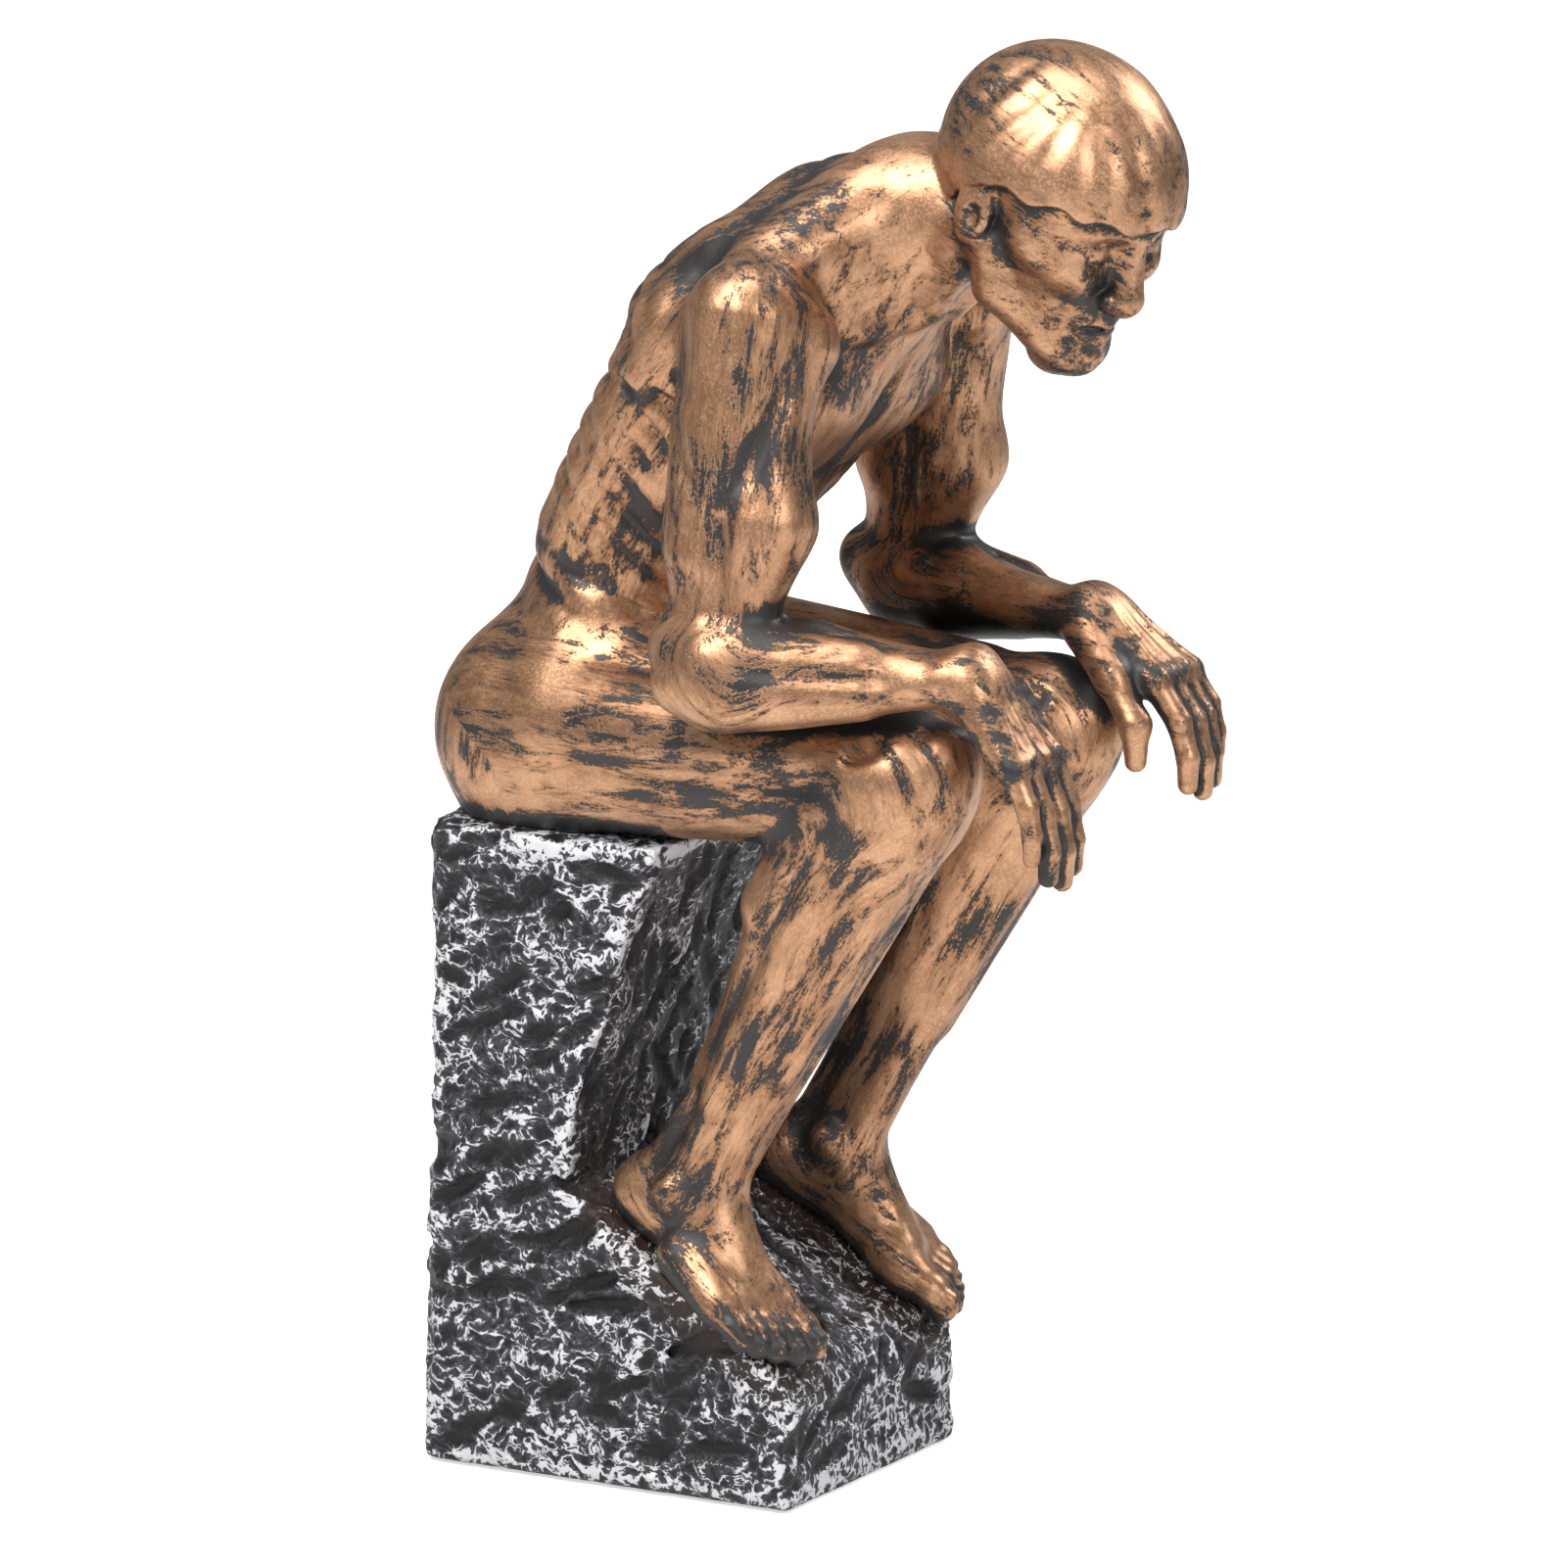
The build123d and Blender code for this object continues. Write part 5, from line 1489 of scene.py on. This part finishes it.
# Materials
class Maker:
    """Short names for building the nodes of a material or of the world."""

    def __init__(self, owner):
        owner.use_nodes = True
        self.owner = owner
        self.nodes, self.links = owner.node_tree.nodes, owner.node_tree.links

    def fill(self, socket, source):
        """A socket takes another socket's output, or a plain value."""
        if isinstance(source, bpy.types.NodeSocket):
            self.links.new(source, socket)
        else:
            socket.default_value = source

    def node(self, kind, output, inputs=None, **settings):
        """An output of a new node with these settings and inputs."""
        made = self.nodes.new("ShaderNode" + kind)
        for key, value in settings.items():
            setattr(made, key, value)
        for key, value in (inputs or {}).items():
            self.fill(made.inputs[key], value)
        return made.outputs[output]

    def attribute(self, name, output):
        return self.node("Attribute", output, attribute_name=name)

    def place(self):
        return self.node("TexCoord", "Object")

    def noise(self, vector, scale, detail, roughness=0.5, distortion=0.0, output="Fac"):
        inputs = {"Vector": vector, "Scale": scale, "Detail": detail}
        inputs |= {"Roughness": roughness, "Distortion": distortion}
        return self.node("TexNoise", output, inputs)

    def vector_math(self, operation, a, b):
        return self.node("VectorMath", "Vector", {0: a, 1: b}, operation=operation)

    def warped(self, vector, scale, amount):
        """A place shifted to and fro by noise."""
        shift = self.noise(vector, scale, WARP_DETAIL, output="Color")
        shift = self.vector_math("SUBTRACT", shift, NOISE_MIDDLE)
        shift = self.vector_math("MULTIPLY", shift, (amount,) * 3)
        return self.vector_math("ADD", vector, shift)

    def turned(self, vector, angle, stretch):
        """A place turned about X and squeezed along Y."""
        inputs = {"Vector": vector, "Rotation": (angle, 0, 0), "Scale": (1, stretch, 1)}
        return self.node("Mapping", "Vector", inputs)

    def cracks(self, vector, scale):
        """Distance to the edges of irregular cells, in cell sizes."""
        inputs = {"Vector": vector, "Scale": scale}
        return self.node("TexVoronoi", "Distance", inputs, feature="DISTANCE_TO_EDGE")

    def math(self, operation, a, b):
        return self.node("Math", 0, {0: a, 1: b}, operation=operation)

    def total(self, values, weights):
        """A sum of values, each times its weight."""
        result = 0.0
        for value, weight in zip(values, weights):
            result = self.math("ADD", result, self.math("MULTIPLY", value, weight))
        return result

    def ramp(self, value, low, high, out_low=0.0, out_high=1.0):
        inputs = {"Value": value, "From Min": low, "From Max": high, "To Min": out_low, "To Max": out_high}
        return self.node("MapRange", "Result", inputs, interpolation_type="SMOOTHSTEP")

    def mix(self, share, a, b):
        return self.node("Mix", "Result", {"Factor": share, "A": a, "B": b}, data_type="RGBA")

    def bump(self, height, strength, distance):
        return self.node("Bump", "Normal", {"Strength": strength, "Distance": distance, "Height": height})

    def set(self, **sockets):
        for name, value in sockets.items():
            self.fill(self.nodes["Principled BSDF"].inputs[name.replace("_", " ")], value)
        return self.owner


def new_maker(name):
    return Maker(bpy.data.materials.new(name))


# Noises are (scale, detail, roughness, distortion), ramps (from, to) or (from, to, low, high),
# bumps (strength, distance in metres), and colours are red, green, blue and alpha.
WARP_DETAIL = 2
NOISE_MIDDLE = (0.5, 0.5, 0.5)

# Bronze paint
STREAKS = (0.34, 6, 0.66, 0.5)
PATCHES = (40, 3, 0.55)
SCRATCHES = (2.6, 5, 0.75)
GRAIN = (1700, 3, 0.65)
TONES = (130, 4, 0.6)
WORN_SHARES = (0.95, 0.6, 0.42, 0.34, 0.62)  # of streak, patch, scratch, grain and crease
BLACK_RAMP = (1.225, 1.285)
SMOKE_RAMP = (1.09, 1.24)
TONE_RAMP = (0.34, 0.68)
FLECK_RAMP = (0.42, 0.66)
FLECK_SHARE, SMOKE_SHARE = 0.35, 0.55
BRONZE_DARK, BRONZE_LIGHT = (0.37, 0.193, 0.105, 1), (0.50, 0.275, 0.158, 1)
BRONZE_FLECK, BRONZE_SMOKE = (0.80, 0.54, 0.34, 1), (0.14, 0.065, 0.030, 1)
PAINT_BLACK = (0.013, 0.012, 0.012, 1)
BRONZE_ROUGH_RAMP = (0.3, 0.7, 0.32, 0.44)
BRONZE_ROUGH_SHARES = (1.0, 0.08)  # of the grain's roughness and of the black
BRONZE_METAL_RAMP = (0.0, 1.0, 0.86, 0.0)
BRONZE_HEIGHT_SHARES = (0.5, -1.0, 0.3)  # of grain, black and scratch
BRONZE_BUMP = (0.4, 0.00022)

# Silver paint on the rock
WIDE_WARP, FINE_WARP, SMALL_WARP = (160, 0.007), (420, 0.0030), (900, 0.0012)  # scale, metres
DRAG_ANGLE, DRAG_STRETCH = 0.35, 0.55  # radians, share
LARGE_CELLS, SMALL_CELLS = 330, 800
CRUMBS = (1500, 3, 0.65)
ROCK_PATCHES = (70, 4, 0.6)
# The coat values carry the silver paint together with painted light and shade on the front faces.
SILVER_SHARES = (0.7, -3.6, -2.4, 0.8, 1.3)  # of coat, large and small cells, crumbs and patches
SILVER_RAMP = (0.46, 0.74)
GREY_RAMP = (-0.6, 0.6)
ROCK_BLACK, ROCK_GREY = (0.006, 0.006, 0.007, 1), (0.046, 0.046, 0.053, 1)
ROCK_BROWN, ROCK_SILVER = (0.028, 0.015, 0.009, 1), (0.60, 0.60, 0.63, 1)
ROCK_ROUGH_RAMP = (0.0, 1.0, 0.46, 0.45)
SILVER_METAL_SHARE = 0.25
ROCK_SPECULAR = 0.3
ROCK_HEIGHT_SHARES = (0.8, 0.6, -0.8)  # of silver, crumbs and large cells
ROCK_BUMP = (0.7, 0.0006)

# Hidden pieces
FINISH_NOISE = (5, 0.6)  # detail, roughness
FINISH_BUMP = (0.3, 0.0002)


def bronze_material():
    """Bronze paint brushed over black: black stays in the creases and as streaks along the limbs."""
    m = new_maker("brushed_bronze_paint")
    brush = m.attribute("flow", "Vector")
    place = m.place()
    deep = m.attribute("crease", "Fac")
    streak = m.noise(brush, *STREAKS)
    patch = m.noise(place, *PATCHES)
    scratch = m.noise(brush, *SCRATCHES)
    grain = m.noise(place, *GRAIN)
    worn = m.total((streak, patch, scratch, grain, deep), WORN_SHARES)
    black = m.ramp(worn, *BLACK_RAMP)
    smoke = m.math("MULTIPLY", m.ramp(worn, *SMOKE_RAMP), SMOKE_SHARE)
    fleck = m.math("MULTIPLY", m.ramp(grain, *FLECK_RAMP), FLECK_SHARE)
    bronze = m.mix(m.ramp(m.noise(place, *TONES), *TONE_RAMP), BRONZE_DARK, BRONZE_LIGHT)
    bronze = m.mix(fleck, bronze, BRONZE_FLECK)
    bronze = m.mix(smoke, bronze, BRONZE_SMOKE)
    return m.set(
        Base_Color=m.mix(black, bronze, PAINT_BLACK),
        Roughness=m.total((m.ramp(grain, *BRONZE_ROUGH_RAMP), black), BRONZE_ROUGH_SHARES),
        Metallic=m.ramp(black, *BRONZE_METAL_RAMP),
        Normal=m.bump(m.total((grain, black, scratch), BRONZE_HEIGHT_SHARES), *BRONZE_BUMP),
    )


def rock_material():
    """Black resin with silver paint dragged over its ridges, dark brown round the feet, with painted light
    and shade on its front faces.
    """
    m = new_maker("silver_brushed_rock")
    place = m.place()
    # Coat values: silver paint, with painted light on the front faces and painted shade on the undercut
    # wall.
    coat_and_shading = m.attribute("coat_and_shading", "Fac")
    near = m.attribute("near_figure", "Fac")
    along = m.turned(m.warped(m.warped(place, *WIDE_WARP), *FINE_WARP), DRAG_ANGLE, DRAG_STRETCH)
    large = m.cracks(along, LARGE_CELLS)
    small = m.cracks(m.warped(along, *SMALL_WARP), SMALL_CELLS)
    crumbs = m.noise(place, *CRUMBS)
    patch = m.noise(place, *ROCK_PATCHES)
    high = m.total((coat_and_shading, large, small, crumbs, patch), SILVER_SHARES)
    silver = m.ramp(high, *SILVER_RAMP)
    dark = m.mix(m.ramp(high, *GREY_RAMP), ROCK_BLACK, ROCK_GREY)
    dark = m.mix(near, dark, ROCK_BROWN)
    return m.set(
        Base_Color=m.mix(silver, dark, ROCK_SILVER),
        Roughness=m.ramp(silver, *ROCK_ROUGH_RAMP),
        Metallic=m.math("MULTIPLY", silver, SILVER_METAL_SHARE),
        Specular_IOR_Level=ROCK_SPECULAR,
        Normal=m.bump(m.total((silver, crumbs, large), ROCK_HEIGHT_SHARES), *ROCK_BUMP),
    )


def plain_material(name, dark, light, scale, roughness, metallic):
    """A hidden piece's finish: two tones of noise and a fine grain."""
    m = new_maker(name)
    grain = m.noise(m.place(), scale, *FINISH_NOISE)
    normal = m.bump(grain, *FINISH_BUMP)
    color = m.mix(grain, (*dark, 1), (*light, 1))
    return m.set(Base_Color=color, Roughness=roughness, Metallic=metallic, Normal=normal)


bronze = bronze_material()
for piece in figure.values():
    piece.data.materials.append(bronze)
rock_piece.data.materials.append(rock_material())

# Finishes of the hidden pieces: name, dark and light tone, grain scale, roughness, metallic, nodes
steel_nodes = [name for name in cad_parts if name.endswith("_pin") or name.startswith("seat_")]
HIDDEN_FINISHES = [
    ("ballast_plaster", (0.46, 0.44, 0.40), (0.66, 0.63, 0.58), 220, 0.9, 0.0, ["ballast_block"]),
    ("fibre_board", (0.22, 0.13, 0.07), (0.40, 0.26, 0.15), 480, 0.8, 0.0, ["base_plate"]),
    ("black_felt", (0.006, 0.006, 0.007), (0.03, 0.03, 0.032), 1400, 1.0, 0.0, ["felt_sheet"]),
    ("zinc_steel", (0.42, 0.42, 0.44), (0.62, 0.62, 0.65), 700, 0.35, 1.0, steel_nodes),
]
for *finish, nodes in HIDDEN_FINISHES:
    made = plain_material(*finish)
    for node in nodes:
        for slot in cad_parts[node].material_slots:
            slot.material = made

# Floor, light and camera, in metres and degrees. Azimuth 0 looks along +Y.
CAMERA_AZIMUTH = -60.1
CAMERA_ELEVATION = 11.7
CAMERA_DISTANCE = 2.19
CAMERA_LENS = 260.5  # millimetres of focal length on the film
CAMERA_AIM = (0.0093, -0.0162, 0.1327)
FLOOR_REACH = 4.0
FLOOR_CORNERS = [(-1, -1), (1, -1), (1, 1), (-1, 1)]
WHITE = (1.0, 1.0, 1.0, 1.0)
WORLD_STRENGTH = 0.26
PAPER = (0.85, 0.85, 0.85, 1)
PAPER_ROUGHNESS = 0.9
GLOW_RAMP = (0.15, 1.0, 0.62, 1.1)  # distances from the figure, brightness at each
# Lamps: name, azimuth, elevation, distance, size, watts, colour
LAMPS = [
    ("key", -100, 50, 0.9, 0.55, 10.5, (1, 0.98, 0.95)),
    ("front", -30, 25, 1.1, 0.45, 4.5, (1, 1, 1)),
    ("rim", 60, 40, 1.0, 0.4, 4.5, (1, 1, 1)),
    ("top", -60, 85, 0.9, 0.5, 4.0, (1, 1, 1)),
]


def studio_world():
    """White to the camera, dimmer to everything else."""
    m = Maker(bpy.data.worlds.new("studio"))
    seen = m.nodes["Background"]
    m.fill(seen.inputs["Color"], WHITE)
    lit = m.node("Background", "Background", {"Color": WHITE, "Strength": WORLD_STRENGTH})
    shares = {"Fac": m.node("LightPath", "Is Camera Ray"), 1: lit, 2: seen.outputs["Background"]}
    m.fill(m.nodes["World Output"].inputs["Surface"], m.node("MixShader", "Shader", shares))
    return m.owner


def floor_material():
    """White paper: lit by the lamps, and brightened where the camera sees it, more so far away."""
    m = new_maker("white_paper")
    away = m.node("VectorMath", "Value", {0: m.place()}, operation="LENGTH")
    glow = m.math("MULTIPLY", m.node("LightPath", "Is Camera Ray"), m.ramp(away, *GLOW_RAMP))
    return m.set(
        Base_Color=PAPER, Roughness=PAPER_ROUGHNESS, Emission_Color=WHITE, Emission_Strength=glow
    )


def aimed(name, data, azimuth, elevation, distance):
    """A lamp or the camera, placed round the figure and aimed at its middle."""
    thing = bpy.data.objects.new(name, data)
    a, e = math.radians(azimuth), math.radians(elevation)
    away = vec(math.sin(a) * math.cos(e), -math.cos(a) * math.cos(e), math.sin(e))
    thing.location = vec(*CAMERA_AIM) + away * distance
    thing.rotation_euler = (math.pi / 2 - e, 0, a)
    bpy.context.scene.collection.objects.link(thing)
    return thing


scene = bpy.context.scene
scene.world = studio_world()
floor_mesh = bpy.data.meshes.new("floor")
floor_mesh.from_pydata([(a * FLOOR_REACH, b * FLOOR_REACH, 0) for a, b in FLOOR_CORNERS], [], [(0, 1, 2, 3)])
floor_mesh.materials.append(floor_material())
floor = bpy.data.objects.new("floor", floor_mesh)
scene.collection.objects.link(floor)
for name, azimuth, elevation, distance, size, watts, color in LAMPS:
    lamp = bpy.data.lights.new(name, "AREA")
    lamp.energy, lamp.size, lamp.color = watts, size, color
    aimed(name, lamp, azimuth, elevation, distance)
camera_data = bpy.data.cameras.new("camera")
camera_data.lens = CAMERA_LENS
scene.camera = aimed("camera", camera_data, CAMERA_AZIMUTH, CAMERA_ELEVATION, CAMERA_DISTANCE)
scene.view_settings.view_transform = "Standard"
